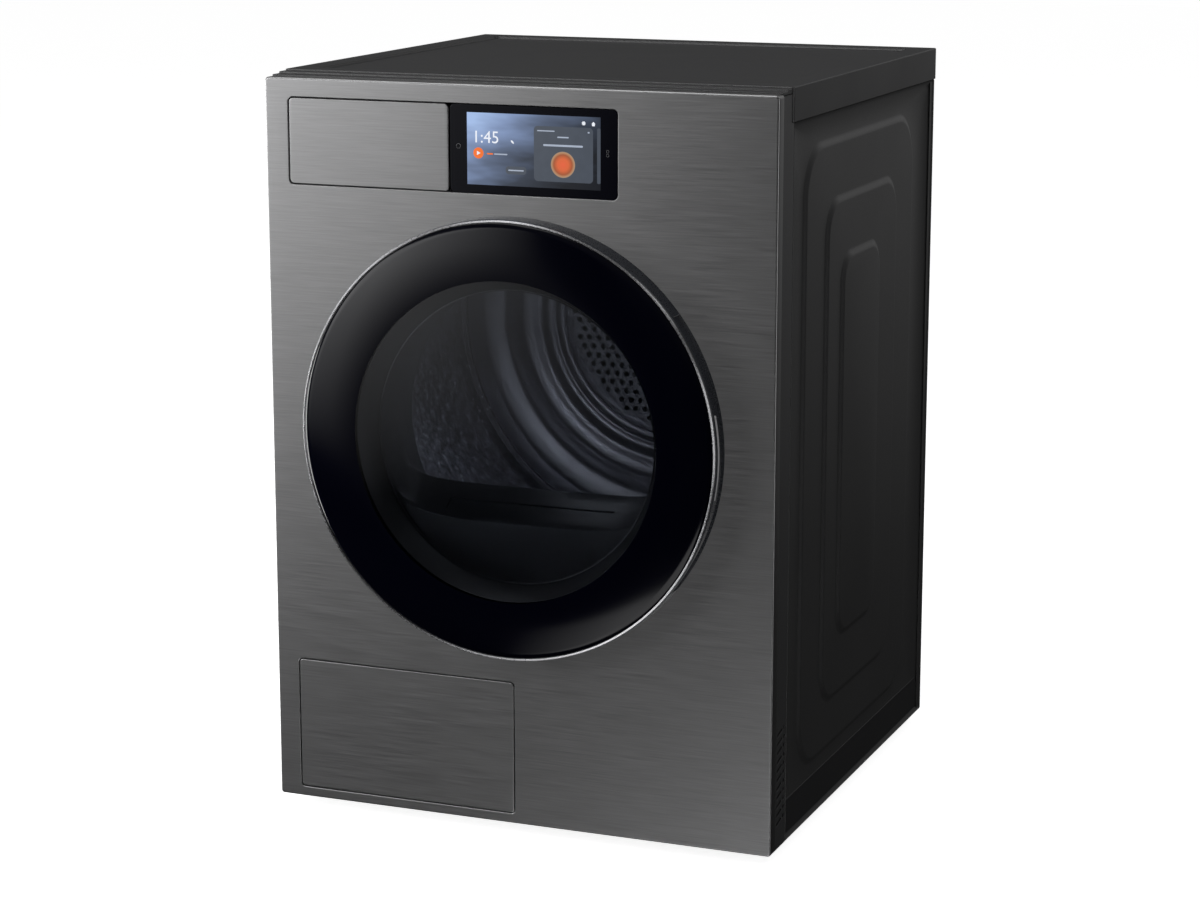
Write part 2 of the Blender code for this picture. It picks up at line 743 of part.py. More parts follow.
def control_housing():
    """Frame behind the front panel that carries the display and guides the drawer."""
    room_low, room_high = BAND_BOTTOM - 0.0015, BAND_TOP + 0.0015
    xs = (BAND_LEFT - HALF - 0.0015, BAND_RIGHT - HALF + 0.0015)
    split = BAND_SPLIT - HALF
    outer = rectangle((xs[0] - 0.007, xs[1] + 0.007), (room_low - 0.006, room_high + 0.006))
    left_hole = rectangle((xs[0], split - 0.0005), (room_low, room_high))
    right_hole = rectangle((split + 0.002, xs[1]), (room_low, room_high))
    slab("control_housing", [outer, left_hole, right_hole], 0.0160, 0.0460, "front", "black_plastic")


# ---- service flap ----
def flap_opening():
    xs = (FLAP_LEFT - HALF, FLAP_RIGHT - HALF)
    zs = (BASE_Z + FLAP_BOTTOM, BASE_Z + FLAP_TOP)
    return xs, zs


def service_flap():
    """Flap with a hollow back; two bosses at its foot turn on the pins of the surround."""
    xs, zs = flap_opening()
    wide = (xs[0] + FLAP_GAP, xs[1] - FLAP_GAP)
    tall = (zs[0] + FLAP_GAP, zs[1] - FLAP_GAP)
    outline = rounded(wide, tall, FLAP_CORNER - FLAP_GAP)
    flap = slab("service_flap", [outline], 0.0003, 0.009, "front", "brushed_steel")
    inside = (wide[0] + 0.008, wide[1] - 0.008), (0.0023, 0.012), (tall[0] + 0.014, tall[1] - 0.006)
    cut(flap, box("flap_hollow", *inside))
    pin_z = zs[0] + FLAP_PIN_RISE
    bores = ((wide[0] - 0.004, wide[0] + 0.013), (wide[1] - 0.013, wide[1] + 0.004))
    for index, ends in enumerate(bores):
        cut(flap, lying_post(f"flap_bore_{index}", ends, FLAP_PIN_DEPTH, pin_z, 0.0020))


def flap_surround():
    xs, zs = flap_opening()
    inner = rectangle((xs[0] - CLEAR, xs[1] + CLEAR), (zs[0] - FLAP_SWEEP, zs[1] + CLEAR))
    outer = rectangle(
        (xs[0] - CLEAR - SURROUND_WALL, xs[1] + CLEAR + SURROUND_WALL),
        (zs[0] - SURROUND_WALL, zs[1] + CLEAR + SURROUND_WALL),
    )
    frame = slab("flap_surround", [outer, inner], PANEL_SKIN + CLEAR, 0.030, "front", "black_plastic")
    pin_z = zs[0] + FLAP_PIN_RISE
    for index, ends in enumerate(((xs[0] - 0.003, xs[0] + 0.010), (xs[1] - 0.010, xs[1] + 0.003))):
        join(frame, lying_post(f"flap_pin_{index}", ends, FLAP_PIN_DEPTH, pin_z, 0.0015))


def exchanger_outline():
    """Width and height of the exchanger filter, a little smaller than the opening it comes out of."""
    xs, zs = flap_opening()
    return (xs[0] + 0.010, xs[1] - 0.010), (zs[0] + 0.010, zs[1] - 0.012)


def exchanger_filter():
    wide, tall = exchanger_outline()
    middle = sum(wide) / 2
    windows = [
        rectangle((wide[0] + 0.010, middle - 0.012), (tall[0] + 0.012, tall[1] - 0.012)),
        rectangle((middle + 0.012, wide[1] - 0.010), (tall[0] + 0.012, tall[1] - 0.012)),
    ]
    outer = rectangle(wide, tall)
    far = EXCHANGER_FACE + EXCHANGER_FILTER
    screen_frame("exchanger_filter", outer, windows, EXCHANGER_FACE, far)


def screen_frame(name, outer, windows, near, far):
    """A filter frame: each window is sunk from both faces down to a thin screen in the middle."""
    frame = slab(name, [outer], near, far, "front", "grey_plastic")
    middle = (near + far) / 2
    for index, window in enumerate(windows):
        cut(
            frame,
            slab(f"{name}_front_{index}", [window], near - CLEAR, middle - SCREEN / 2, "front"),
            slab(f"{name}_back_{index}", [window], middle + SCREEN / 2, far + CLEAR, "front"),
        )


# ---- round opening ----
def front_bulkhead():
    """Plate in front of the drum, with the tunnel of the door opening and the studs of the rollers."""
    wide = SIDE_X - 0.0035
    low, high = BASE_Z + FLAP_TOP - 0.008, BASE_Z + 0.788
    notch = offset(tank_outline(), CLEAR + 0.003)
    outer = [
        (-wide, low),
        (wide, low),
        (wide, high),
        (notch[2][0], high),
        notch[2],
        notch[1],
        notch[0],
        (-wide, notch[0][1]),
    ]
    far = BULKHEAD_FACE + PLATE
    hole = circle(DOOR_X, DOOR_Z, TUNNEL_RADIUS + PLATE / 2)
    plate = slab("front_bulkhead", [outer, hole], BULKHEAD_FACE, far, "front", "zinc_steel")
    wall = TUNNEL_RADIUS + PLATE
    flange = GASKET_RADIUS + 0.0015
    tunnel = turned(
        "tunnel_wall",
        [
            (TUNNEL_RADIUS, 0.011),
            (flange, 0.011),
            (flange, 0.013),
            (wall, 0.013),
            (wall, TUNNEL_BACK),
            (TUNNEL_RADIUS, TUNNEL_BACK),
        ],
        DOOR_X,
        DOOR_Z,
    )
    join(plate, tunnel)
    for side in (-1, 1):
        x, z = roller_place(side)
        ends = (BULKHEAD_FACE + 0.001, ROLLER_FACE + ROLLER_WIDE + 0.002)
        join(plate, rod(f"roller_stud_{side}", x, z, AXLE_RADIUS, ends))
    half = FILTER_WIDTH / 2 + 0.010
    gate = box(
        "filter_gate",
        (DOOR_X - half - CLEAR, DOOR_X + half + CLEAR),
        (0.0125, BULKHEAD_FACE - CLEAR / 2),
        (low, lip_height(BULKHEAD_FACE) + 0.008),
    )
    cut(plate, gate)


def lip_height(depth):
    """Height of the sloping lip of the opening at a depth."""
    return DOOR_Z - LIP_DROP + LIP_RISE * (depth - 0.012) / 0.050


def roller_place(side):
    reach = DRUM_RADIUS + CLEAR + ROLLER_RADIUS
    turn = math.radians(ROLLER_ANGLE)
    return DRUM_X + side * reach * math.sin(turn), DRUM_Z - reach * math.cos(turn)


def filter_pieces():
    half = FILTER_WIDTH / 2 + 0.010
    near, far = 0.0135, BULKHEAD_FACE - 0.001
    floor = DOOR_Z - LIP_DROP - FILTER_TALL + 0.006
    outline = [(near, floor), (far, floor), (far, lip_height(far)), (near, lip_height(near))]
    housing = slab("filter_housing", [outline], DOOR_X - half, DOOR_X + half, "side", "black_plastic")
    slot_near = 0.0228
    room = box(
        "filter_room",
        (DOOR_X - FILTER_WIDTH / 2 - 0.001, DOOR_X + FILTER_WIDTH / 2 + 0.001),
        (slot_near, slot_near + FILTER_THICK + 0.002),
        (floor + 0.003, DOOR_Z),
    )
    cut(housing, room)
    low = floor + 0.003 + CLEAR
    high = lip_height(slot_near) - 0.001
    wide = (DOOR_X - FILTER_WIDTH / 2, DOOR_X + FILTER_WIDTH / 2)
    windows = [
        rectangle((wide[0] + 0.010, DOOR_X - 0.006), (low + 0.012, high - 0.026)),
        rectangle((DOOR_X + 0.006, wide[1] - 0.010), (low + 0.012, high - 0.026)),
    ]
    start = slot_near + 0.001
    screen_frame("lint_filter", rectangle(wide, (low, high)), windows, start, start + FILTER_THICK)


# ---- drum ----
def drum():
    outer, inner = DRUM_RADIUS, DRUM_RADIUS - DRUM_WALL
    shell = [
        (DRUM_LIP, DRUM_FRONT),
        (outer, DRUM_FRONT),
        (outer, DRUM_BACK),
        (inner, DRUM_BACK),
        (inner, DRUM_FRONT + DRUM_WALL),
        (DRUM_LIP, DRUM_FRONT + DRUM_WALL),
    ]
    turned("drum_shell", shell, DRUM_X, DRUM_Z, "drum_steel")
    edge = inner - 0.001
    front = [
        (0, 0.011),
        (PERFORATED + 0.004, 0.011),
        (PERFORATED + 0.010, 0.003),
        (PERFORATED + 0.066, -0.010),
        (edge, -0.017),
    ]
    sheet = [(radius, DRUM_BACK + depth) for radius, depth in front]
    rim = [(edge, DRUM_BACK)]
    behind = [(edge - DRUM_WALL, DRUM_BACK)]
    behind += [(min(radius, edge - DRUM_WALL), depth + DRUM_WALL) for radius, depth in sheet[::-1]]
    back = turned("drum_back", sheet + rim + behind, DRUM_X, DRUM_Z, "drum_steel", closed=False)
    rows = int(2 * PERFORATED / AIR_PITCH / math.sqrt(3)) + 1
    for row in range(-rows, rows + 1):
        for column in range(-rows, rows + 1):
            x = AIR_PITCH * (column + row / 2)
            z = AIR_PITCH * row * math.sqrt(3) / 2
            if math.hypot(x, z) > PERFORATED - AIR_HOLE - 0.004 or math.hypot(x, z) < 0.001:
                continue
            depths = (DRUM_BACK + 0.005, DRUM_BACK + 0.018)
            cut(back, rod(f"air_hole_{row}_{column}", DRUM_X + x, DRUM_Z + z, AIR_HOLE, depths, sides=6))
    for index in range(3):
        lifter(index)
    hub_near = DRUM_BACK + 0.011 + DRUM_WALL + CLEAR
    shaft = turned(
        "drum_shaft",
        [
            (0, hub_near),
            (0.045, hub_near),
            (0.045, hub_near + 0.004),
            (SHAFT_RADIUS, hub_near + 0.004),
            (SHAFT_RADIUS, SHAFT_END),
            (0, SHAFT_END),
        ],
        DRUM_X,
        DRUM_Z,
        "bearing_steel",
        steps=24,
        closed=False,
    )
    for index in range(3):
        spoke = bmesh.new()
        bmesh.ops.create_cube(spoke, size=1)
        bmesh.ops.scale(spoke, vec=(0.120, 0.003, 0.024), verts=spoke.verts)
        bmesh.ops.translate(spoke, vec=(0.095, 0, 0), verts=spoke.verts)
        turn = Matrix.Rotation(math.radians(90 + 120 * index), 3, "Y")
        bmesh.ops.rotate(spoke, matrix=turn, verts=spoke.verts)
        bmesh.ops.translate(spoke, vec=(DRUM_X, face(hub_near + 0.002), DRUM_Z), verts=spoke.verts)
        join(shaft, from_bmesh(f"spoke_{index}", spoke, None))


def lifter(index):
    """A ridge inside the drum wall that carries the laundry up."""
    reach = DRUM_RADIUS - DRUM_WALL - 0.0012
    half = LIFTER_WIDE / 2
    floor = math.sqrt(reach * reach - half * half) - CLEAR
    outline = [
        (-half, -floor),
        (half, -floor),
        (half * 0.30, -floor + LIFTER_TALL),
        (-half * 0.30, -floor + LIFTER_TALL),
    ]
    turn = math.radians(LIFTER_TURN + 120 * index)
    placed = [
        (DRUM_X + u * math.cos(turn) - v * math.sin(turn), DRUM_Z + u * math.sin(turn) + v * math.cos(turn))
        for u, v in outline
    ]
    slab(f"drum_lifter_{index + 1}", [placed], 0.130, DRUM_BACK - 0.050, "front", "light_plastic")


def drum_bearings():
    turned(
        "front_drum_seal",
        [
            (DRUM_LIP + 0.002, 0.0510),
            (DRUM_RADIUS - 0.001, 0.0510),
            (DRUM_RADIUS - 0.001, DRUM_FRONT - CLEAR),
            (DRUM_LIP + 0.002, DRUM_FRONT - CLEAR),
        ],
        DRUM_X,
        DRUM_Z,
        "felt",
    )
    for side, name in ((-1, "support_roller_left"), (1, "support_roller_right")):
        x, z = roller_place(side)
        bore = AXLE_RADIUS + 0.0004
        ends = (ROLLER_FACE, ROLLER_FACE + ROLLER_WIDE)
        profile = [(bore, ends[0]), (ROLLER_RADIUS, ends[0]), (ROLLER_RADIUS, ends[1]), (bore, ends[1])]
        turned(name, profile, x, z, "rubber", steps=24)
    wide = SIDE_X - 0.0035
    outer = rectangle((-wide, wide), (BASE_Z + FLAP_TOP - 0.008, BASE_Z + 0.785))
    hole = circle(DRUM_X, DRUM_Z, DUCT_RADIUS)
    slab("rear_bulkhead", [outer, hole], REAR_BULKHEAD, REAR_BULKHEAD + 0.0015, "front", "zinc_steel")
    near = REAR_BULKHEAD + 0.0015 + CLEAR
    wall = DUCT_RADIUS + 0.004
    floor = REAR_BULKHEAD + 0.044
    seat = BEARING_RADIUS + CLEAR
    cover = [
        (DUCT_RADIUS + 0.015, near),
        (DUCT_RADIUS + 0.015, near + 0.0015),
        (wall + 0.0015, near + 0.0015),
        (wall + 0.0015, floor),
        (seat + 0.0035, floor),
        (seat + 0.0035, floor + 0.016),
        (seat, floor + 0.016),
        (seat, floor - 0.0015),
        (wall, floor - 0.0015),
        (wall, near),
    ]
    turned("rear_duct_cover", cover, DRUM_X, DRUM_Z, "zinc_steel", steps=32)
    ring = [
        (SHAFT_RADIUS + 0.0004, floor - 0.001),
        (BEARING_RADIUS, floor - 0.001),
        (BEARING_RADIUS, floor + 0.013),
        (SHAFT_RADIUS + 0.0004, floor + 0.013),
    ]
    turned("rear_bearing", ring, DRUM_X, DRUM_Z, "bearing_steel", steps=24)


# ---- drive ----
def belt_path(offset_out):
    """Closed path round the drum, the motor pulley and the idler, anticlockwise as (x, z)."""
    circles = [
        (DRUM_X, DRUM_Z, DRUM_RADIUS + CLEAR + offset_out, 40),
        (IDLER_X, IDLER_Z, IDLER_RADIUS + CLEAR + offset_out, 5),
        (MOTOR_X, MOTOR_Z, PULLEY_RADIUS + CLEAR + offset_out, 6),
    ]
    normals = []
    for (ax, az, ar, _), (bx, bz, br, _) in zip(circles, circles[1:] + circles[:1]):
        length = math.hypot(bx - ax, bz - az)
        heading = math.atan2(bz - az, bx - ax)
        normals.append(heading - math.acos((ar - br) / length))
    points = []
    for index, (x, z, radius, steps) in enumerate(circles):
        start = math.degrees(normals[index - 1])
        stop = math.degrees(normals[index])
        while stop < start:
            stop += 360
        points += arc(x, z, radius, start, stop, steps)
    return points


def drive():
    far = BELT_FACE + BELT_WIDE
    outlines = [belt_path(BELT_THICK), belt_path(0)]
    slab("drive_belt", outlines, BELT_FACE, far, "front", "rubber")
    bore = ROTOR_RADIUS + 0.0006
    ends = (MOTOR_FACE, MOTOR_FACE + MOTOR_LONG)
    body = [
        (bore, ends[0]),
        (MOTOR_RADIUS * 0.5, ends[0]),
        (MOTOR_RADIUS, ends[0] + 0.015),
        (MOTOR_RADIUS, ends[1] - 0.015),
        (MOTOR_RADIUS * 0.5, ends[1]),
        (bore, ends[1]),
    ]
    turned("drive_motor", body, MOTOR_X, MOTOR_Z, "aluminium", steps=24)
    tip = FAN_FACE + FAN_LONG - 0.006
    rotor = [
        (0, BELT_FACE - 0.006),
        (ROTOR_RADIUS, BELT_FACE - 0.006),
        (ROTOR_RADIUS, BELT_FACE - 0.001),
        (PULLEY_RADIUS, BELT_FACE - 0.001),
        (PULLEY_RADIUS, far + 0.001),
        (ROTOR_RADIUS, far + 0.001),
        (ROTOR_RADIUS, tip),
        (0, tip),
    ]
    turned("motor_shaft", rotor, MOTOR_X, MOTOR_Z, "bearing_steel", steps=24, closed=False)
    hub = ROTOR_RADIUS + 0.0006
    wheel = turned(
        "fan_impeller",
        [
            (hub, FAN_FACE + 0.004),
            (0.018, FAN_FACE + 0.004),
            (0.018, FAN_FACE + FAN_LONG - 0.004),
            (FAN_RADIUS, FAN_FACE + FAN_LONG - 0.004),
            (FAN_RADIUS, FAN_FACE + FAN_LONG),
            (hub, FAN_FACE + FAN_LONG),
        ],
        MOTOR_X,
        MOTOR_Z,
        "black_plastic",
        steps=32,
    )
    for index in range(FAN_BLADES):
        blade = bmesh.new()
        bmesh.ops.create_cube(blade, size=1)
        bmesh.ops.scale(blade, vec=(0.020, FAN_LONG - 0.002, 0.002), verts=blade.verts)
        bmesh.ops.rotate(blade, matrix=Matrix.Rotation(math.radians(35), 3, "Y"), verts=blade.verts)
        bmesh.ops.translate(blade, vec=(FAN_RADIUS - 0.013, 0, 0), verts=blade.verts)
        turn = Matrix.Rotation(math.tau * index / FAN_BLADES, 3, "Y")
        bmesh.ops.rotate(blade, matrix=turn, verts=blade.verts)
        middle = face(FAN_FACE + FAN_LONG / 2 - 0.0005)
        bmesh.ops.translate(blade, vec=(MOTOR_X, middle, MOTOR_Z), verts=blade.verts)
        join(wheel, from_bmesh(f"blade_{index}", blade, None))
    room = FAN_RADIUS + 0.010
    near, back = FAN_FACE - 0.005, FAN_FACE + FAN_LONG + 0.005
    housing = turned(
        "fan_housing",
        [
            (0.045, near - 0.002),
            (room + 0.002, near - 0.002),
            (room + 0.002, back + 0.002),
            (0.010, back + 0.002),
            (0.010, back),
            (room, back),
            (room, near),
            (0.045, near),
        ],
        MOTOR_X,
        MOTOR_Z,
        "black_plastic",
        steps=32,
    )
    outlet_xs = (MOTOR_X - room - 0.01, MOTOR_X - room + 0.030)
    outlet = box("fan_outlet", outlet_xs, (near, back), (MOTOR_Z - 0.030, MOTOR_Z + 0.030))
    cut(housing, outlet)


def idler():
    """Sprung arm that keeps the belt tight; its pulley runs inside the loop."""
    far = BELT_FACE + BELT_WIDE
    profile = [
        (AXLE_RADIUS + 0.0004, BELT_FACE - 0.001),
        (IDLER_RADIUS, BELT_FACE - 0.001),
        (IDLER_RADIUS, far + 0.001),
        (AXLE_RADIUS + 0.0004, far + 0.001),
    ]
    turned("idler_pulley", profile, IDLER_X, IDLER_Z, "light_plastic", steps=24)
    plate = (far + 0.003, far + 0.006)
    heading = math.degrees(math.atan2(IDLER_Z - PIVOT_Z, IDLER_X - PIVOT_X))
    outline = arc(IDLER_X, IDLER_Z, 0.009, heading - 90, heading + 90, 6)
    outline += arc(PIVOT_X, PIVOT_Z, 0.011, heading + 90, heading + 270, 6)
    arm = slab("idler_arm", [outline], *plate, "front", "zinc_steel")
    stud = (BELT_FACE - 0.003, plate[0] + 0.001)
    pivot = (plate[1] - 0.001, IDLER_STAND[1] - 0.006)
    join(
        arm,
        rod("idler_stud", IDLER_X, IDLER_Z, AXLE_RADIUS, stud, sides=12),
        rod("idler_pivot", PIVOT_X, PIVOT_Z, AXLE_RADIUS, pivot, sides=12),
    )


# ---- heat pump ----
def coil(name, near):
    """Finned heat exchanger: a block whose front is cut into upright fins."""
    left = DUCT_LEFT - HALF + MOULDING + 0.002
    right = DUCT_RIGHT - HALF - MOULDING - 0.002
    pitch = (right - left) / FIN_COUNT
    far = near + COIL_THICK
    outline = [(left, far), (left, near)]
    for index in range(1, FIN_COUNT):
        edge = left + index * pitch
        outline += [(edge - 0.006, near), (edge - 0.006, far - 0.012), (edge, far - 0.012), (edge, near)]
    outline += [(right, near), (right, far)]
    slab(name, [outline], TRAY_Z + 0.002, TRAY_Z + COIL_TALL, "top", "aluminium")


def heat_pump():
    coil("evaporator", EVAPORATOR_FACE)
    coil("condenser", CONDENSER_FACE)
    low = TRAY_Z + CLEAR
    high = low + COMPRESSOR_TALL
    shell = [
        (0, high),
        (COMPRESSOR_RADIUS * 0.45, high - 0.003),
        (COMPRESSOR_RADIUS * 0.85, high - 0.016),
        (COMPRESSOR_RADIUS, high - 0.036),
        (COMPRESSOR_RADIUS, low + 0.020),
        (COMPRESSOR_RADIUS * 1.15, low + 0.004),
        (COMPRESSOR_RADIUS * 1.15, low),
        (0, low),
    ]
    upright("compressor", shell, COMPRESSOR_X, COMPRESSOR_DEPTH, "black_plastic")
    cap = low + 0.050
    pump = [
        (0, cap + 0.020),
        (0.006, cap + 0.020),
        (0.006, cap),
        (PUMP_RADIUS * 0.7, cap),
        (PUMP_RADIUS, low + 0.022),
        (PUMP_RADIUS, low),
        (0, low),
    ]
    upright("condensate_pump", pump, PUMP_X, PUMP_DEPTH, "grey_plastic", 20)


# ---- door ----
def sector(name, angle, radii, depths, finish=None, steps=16):
    """Part of a ring about the door's centre, from -angle to +angle about +X."""
    outline = arc(DOOR_X, DOOR_Z, radii[1], -angle, angle, steps)
    outline += arc(DOOR_X, DOOR_Z, radii[0], angle, -angle, steps)
    return slab(name, [outline], *depths, "front", finish)


def hinge_notch(name, reach):
    """Room behind the glass for the hinge."""
    half = HINGE_HALF + 0.012
    xs = (DOOR_X - RIM_RADIUS - 0.01, HINGE_X + NOTCH_WIDE)
    return box(name, xs, (reach, 0.010), (DOOR_Z - half, DOOR_Z + half))


def door():
    front = -DOOR_PROUD
    glass_back = front + GLASS_THICK
    glass = [
        (0, glass_back),
        (GLASS_RADIUS, glass_back),
        (GLASS_RADIUS, front + 0.0045),
        (GLASS_RADIUS - 0.002, front + 0.0016),
        (GLASS_RADIUS - 0.0075, front),
        (0, front),
    ]
    turned("door_glass", glass, DOOR_X, DOOR_Z, "black_glass", closed=False)

    ledge = glass_back + CLEAR
    seat = GLASS_RADIUS + CLEAR
    inner = RIM_RADIUS - RIM_WALL
    rim = [
        (RIM_RADIUS - 0.0045, -DOOR_GAP),
        (RIM_RADIUS, -RIM_FOOT),
        (RIM_RADIUS, ledge + 0.002),
        (RIM_RADIUS - 0.0015, front + 0.0015),
        (seat, front + 0.0015),
        (seat, ledge),
        (inner - 0.006, ledge),
        (inner - 0.006, ledge + 0.002),
        (inner, ledge + 0.002),
        (inner, -DOOR_GAP - 0.002),
        (inner - 0.006, -DOOR_GAP - 0.002),
        (inner - 0.006, -DOOR_GAP),
    ]
    ring = turned("door_rim", rim, DOOR_X, DOOR_Z, "grey_plastic")
    grip_front = ledge + 0.0025
    pocket = sector("grip_pocket", GRIP_ANGLE, (0.200, 0.260), (grip_front, -RIM_FOOT + 0.001))
    cut(ring, pocket, hinge_notch("rim_notch", ledge - CLEAR))

    side = inner - 0.006 - CLEAR
    skin = 0.0025
    near = ledge
    back = -0.0060
    frame = [
        (WINDOW_RADIUS + WINDOW_FLARE, near),
        (side, near),
        (side, near + 0.002),
        (WINDOW_RADIUS + WINDOW_FLARE + skin, near + 0.002),
        (WINDOW_RADIUS + skin, back - skin),
        (side, back - skin),
        (side, back),
        (WINDOW_RADIUS, back),
    ]
    body = turned("door_frame", frame, DOOR_X, DOOR_Z, "black_plastic")
    cut(body, hinge_notch("frame_notch", near - 0.001))
    grip_radii = (RIM_RADIUS - 0.0115, RIM_RADIUS - 0.0028)
    sector("door_grip", GRIP_BAR_ANGLE, grip_radii, (near + 0.0030, near + 0.0130), "light_plastic", 6)

    lip = back + CLEAR
    bowl = [
        (0, BOWL_DEPTH - BOWL_GLASS),
        (WINDOW_RADIUS - 0.028, BOWL_DEPTH - BOWL_GLASS),
        (WINDOW_RADIUS - 0.009, BOWL_DEPTH / 2 - BOWL_GLASS / 2),
        (WINDOW_RADIUS + 0.001, lip),
        (WINDOW_RADIUS + 0.020, lip),
        (WINDOW_RADIUS + 0.020, lip + BOWL_GLASS),
        (WINDOW_RADIUS + 0.004, lip + BOWL_GLASS),
        (WINDOW_RADIUS - 0.006, BOWL_DEPTH / 2 + BOWL_GLASS / 2),
        (WINDOW_RADIUS - 0.026, BOWL_DEPTH),
        (0, BOWL_DEPTH),
    ]
    turned("door_window", bowl, DOOR_X, DOOR_Z, "window_glass", closed=False)
    gasket = [
        (GASKET_RADIUS - GASKET_WIDTH, lip),
        (GASKET_RADIUS, lip),
        (GASKET_RADIUS, 0.0085),
        (GASKET_RADIUS - GASKET_WIDTH / 2, 0.0105),
        (GASKET_RADIUS - GASKET_WIDTH, 0.0085),
    ]
    turned("door_gasket", gasket, DOOR_X, DOOR_Z, "rubber")


def door_hinge():
    pin_y = -HINGE_OUT
    lean = math.radians(ARM_ANGLE)
    along = (math.cos(lean), math.sin(lean))
    left = (HINGE_X - KNUCKLE * along[1], pin_y + KNUCKLE * along[0])
    right = (HINGE_X + KNUCKLE * along[1], pin_y - KNUCKLE * along[0])
    plate = (-0.0035, -0.0005)
    foot_left = left[0] + along[0] * (plate[1] - left[1]) / along[1]
    foot_right = right[0] + along[0] * (plate[0] - right[1]) / along[1]
    edge = HINGE_X + 0.030
    outline = arc(HINGE_X, pin_y, KNUCKLE, ARM_ANGLE + 90, ARM_ANGLE + 270, 8)
    outline += [(foot_right, plate[0]), (edge, plate[0]), (edge, plate[1]), (foot_left, plate[1])]
    arm_low = LEAF_HALF + 0.001
    bracket = box(
        "hinge_bracket",
        (foot_left + 0.001, edge),
        plate,
        (DOOR_Z - HINGE_HALF, DOOR_Z + HINGE_HALF),
        "zinc_steel",
    )
    for index, (low, high) in enumerate(((-HINGE_HALF, -arm_low), (arm_low, HINGE_HALF))):
        join(bracket, slab(f"hinge_arm_{index}", [outline], DOOR_Z + low, DOOR_Z + high, "top"))
    bore = post("bracket_bore", HINGE_X, pin_y, PIN_RADIUS + 0.0004, (DOOR_Z - 0.06, DOOR_Z + 0.06), sides=12)
    cut(bracket, bore)
    leaf_zs = (DOOR_Z - LEAF_HALF, DOOR_Z + LEAF_HALF)
    leaf = post("door_hinge_leaf", HINGE_X, pin_y, KNUCKLE, leaf_zs, "zinc_steel")
    ledge = -DOOR_PROUD + GLASS_THICK + CLEAR
    arm_top = ledge + 0.002 + CLEAR
    wing = box(
        "leaf_wing",
        (HINGE_X - 0.001, HINGE_X + 0.046),
        (arm_top, pin_y - KNUCKLE + 0.0015),
        (DOOR_Z - LEAF_HALF + 0.001, DOOR_Z + LEAF_HALF - 0.001),
    )
    join(leaf, wing)
    bored = (DOOR_Z - 0.05, DOOR_Z + 0.05)
    cut(leaf, post("leaf_bore", HINGE_X, pin_y, PIN_RADIUS + 0.0004, bored, sides=12))
    reach = HINGE_HALF + 0.004
    pin_zs = (DOOR_Z - reach, DOOR_Z + reach)
    post("hinge_pin", HINGE_X, pin_y, PIN_RADIUS, pin_zs, "bearing_steel", sides=12)


def door_latch():
    x = DOOR_X + HOOK_RADIUS
    outline = [
        (-0.0055, -0.009),
        (0.0120, -0.009),
        (0.0160, -0.004),
        (0.0160, 0.009),
        (0.0110, 0.009),
        (0.0110, 0.003),
        (-0.0055, 0.003),
    ]
    placed = [(depth, DOOR_Z + z) for depth, z in outline]
    slab("door_hook", [placed], x - 0.004, x + 0.004, "side", "grey_plastic")
    start = PANEL_SKIN + CLEAR
    block_zs, room_zs = (DOOR_Z - 0.028, DOOR_Z + 0.028), (DOOR_Z - 0.016, DOOR_Z + 0.016)
    block = box("door_catch", (x - 0.015, x + 0.015), (start, 0.030), block_zs, "black_plastic")
    room = box("catch_room", (x - 0.0095, x + 0.0095), (start - 0.002, 0.022), room_zs)
    cut(block, room)


front_panel()
side_strip(-1, "front_frame_left")
side_strip(1, "front_frame_right")
side_panel(-1, "side_panel_left")
side_panel(1, "side_panel_right")
rear_panel()
top_cover()
top_front_trim()
base_pan()
for foot_name, (foot_x, foot_depth) in FEET.items():
    foot(foot_name, foot_x, foot_depth)
power_inlet()
tank_drawer()
display()
control_housing()
service_flap()
flap_surround()
exchanger_filter()
front_bulkhead()
filter_pieces()
drum()
drum_bearings()
drive()
idler()
heat_pump()
door()
door_hinge()
door_latch()
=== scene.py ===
"""Looks of the clothes dryer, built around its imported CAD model.

Metres, +Z up, the front faces -Y. Depths are counted backwards from the face of the front panel.
"""

import json
import math

import bmesh
import bpy
import numpy as np
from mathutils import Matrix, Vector

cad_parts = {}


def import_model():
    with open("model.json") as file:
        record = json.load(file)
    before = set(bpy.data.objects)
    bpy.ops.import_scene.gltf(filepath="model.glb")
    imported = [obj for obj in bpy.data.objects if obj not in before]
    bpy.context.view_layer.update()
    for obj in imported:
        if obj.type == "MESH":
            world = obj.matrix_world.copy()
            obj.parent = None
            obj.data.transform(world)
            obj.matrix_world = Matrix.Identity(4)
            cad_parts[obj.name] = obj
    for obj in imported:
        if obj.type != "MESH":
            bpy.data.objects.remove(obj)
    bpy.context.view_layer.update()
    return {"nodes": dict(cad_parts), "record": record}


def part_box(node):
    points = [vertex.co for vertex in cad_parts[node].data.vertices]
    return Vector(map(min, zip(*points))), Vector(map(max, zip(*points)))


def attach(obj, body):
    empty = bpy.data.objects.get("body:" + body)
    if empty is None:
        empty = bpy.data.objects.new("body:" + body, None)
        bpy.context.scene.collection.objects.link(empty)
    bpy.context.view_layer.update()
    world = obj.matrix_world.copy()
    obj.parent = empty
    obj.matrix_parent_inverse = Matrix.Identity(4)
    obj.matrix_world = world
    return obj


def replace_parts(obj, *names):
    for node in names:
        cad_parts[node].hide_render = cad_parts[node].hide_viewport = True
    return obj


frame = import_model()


# ---- places, read from the frame ----
def low(node):
    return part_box(node)[0]


def high(node):
    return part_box(node)[1]


def span(node, axis):
    return high(node)[axis] - low(node)[axis]


def depths_of(node):
    """Front and rear of a node, as depths."""
    return low(node).y - FRONT, high(node).y - FRONT


def centre(node):
    """Middle of a node in the front view, as (x, z)."""
    middle = (low(node) + high(node)) / 2
    return middle.x, middle.z


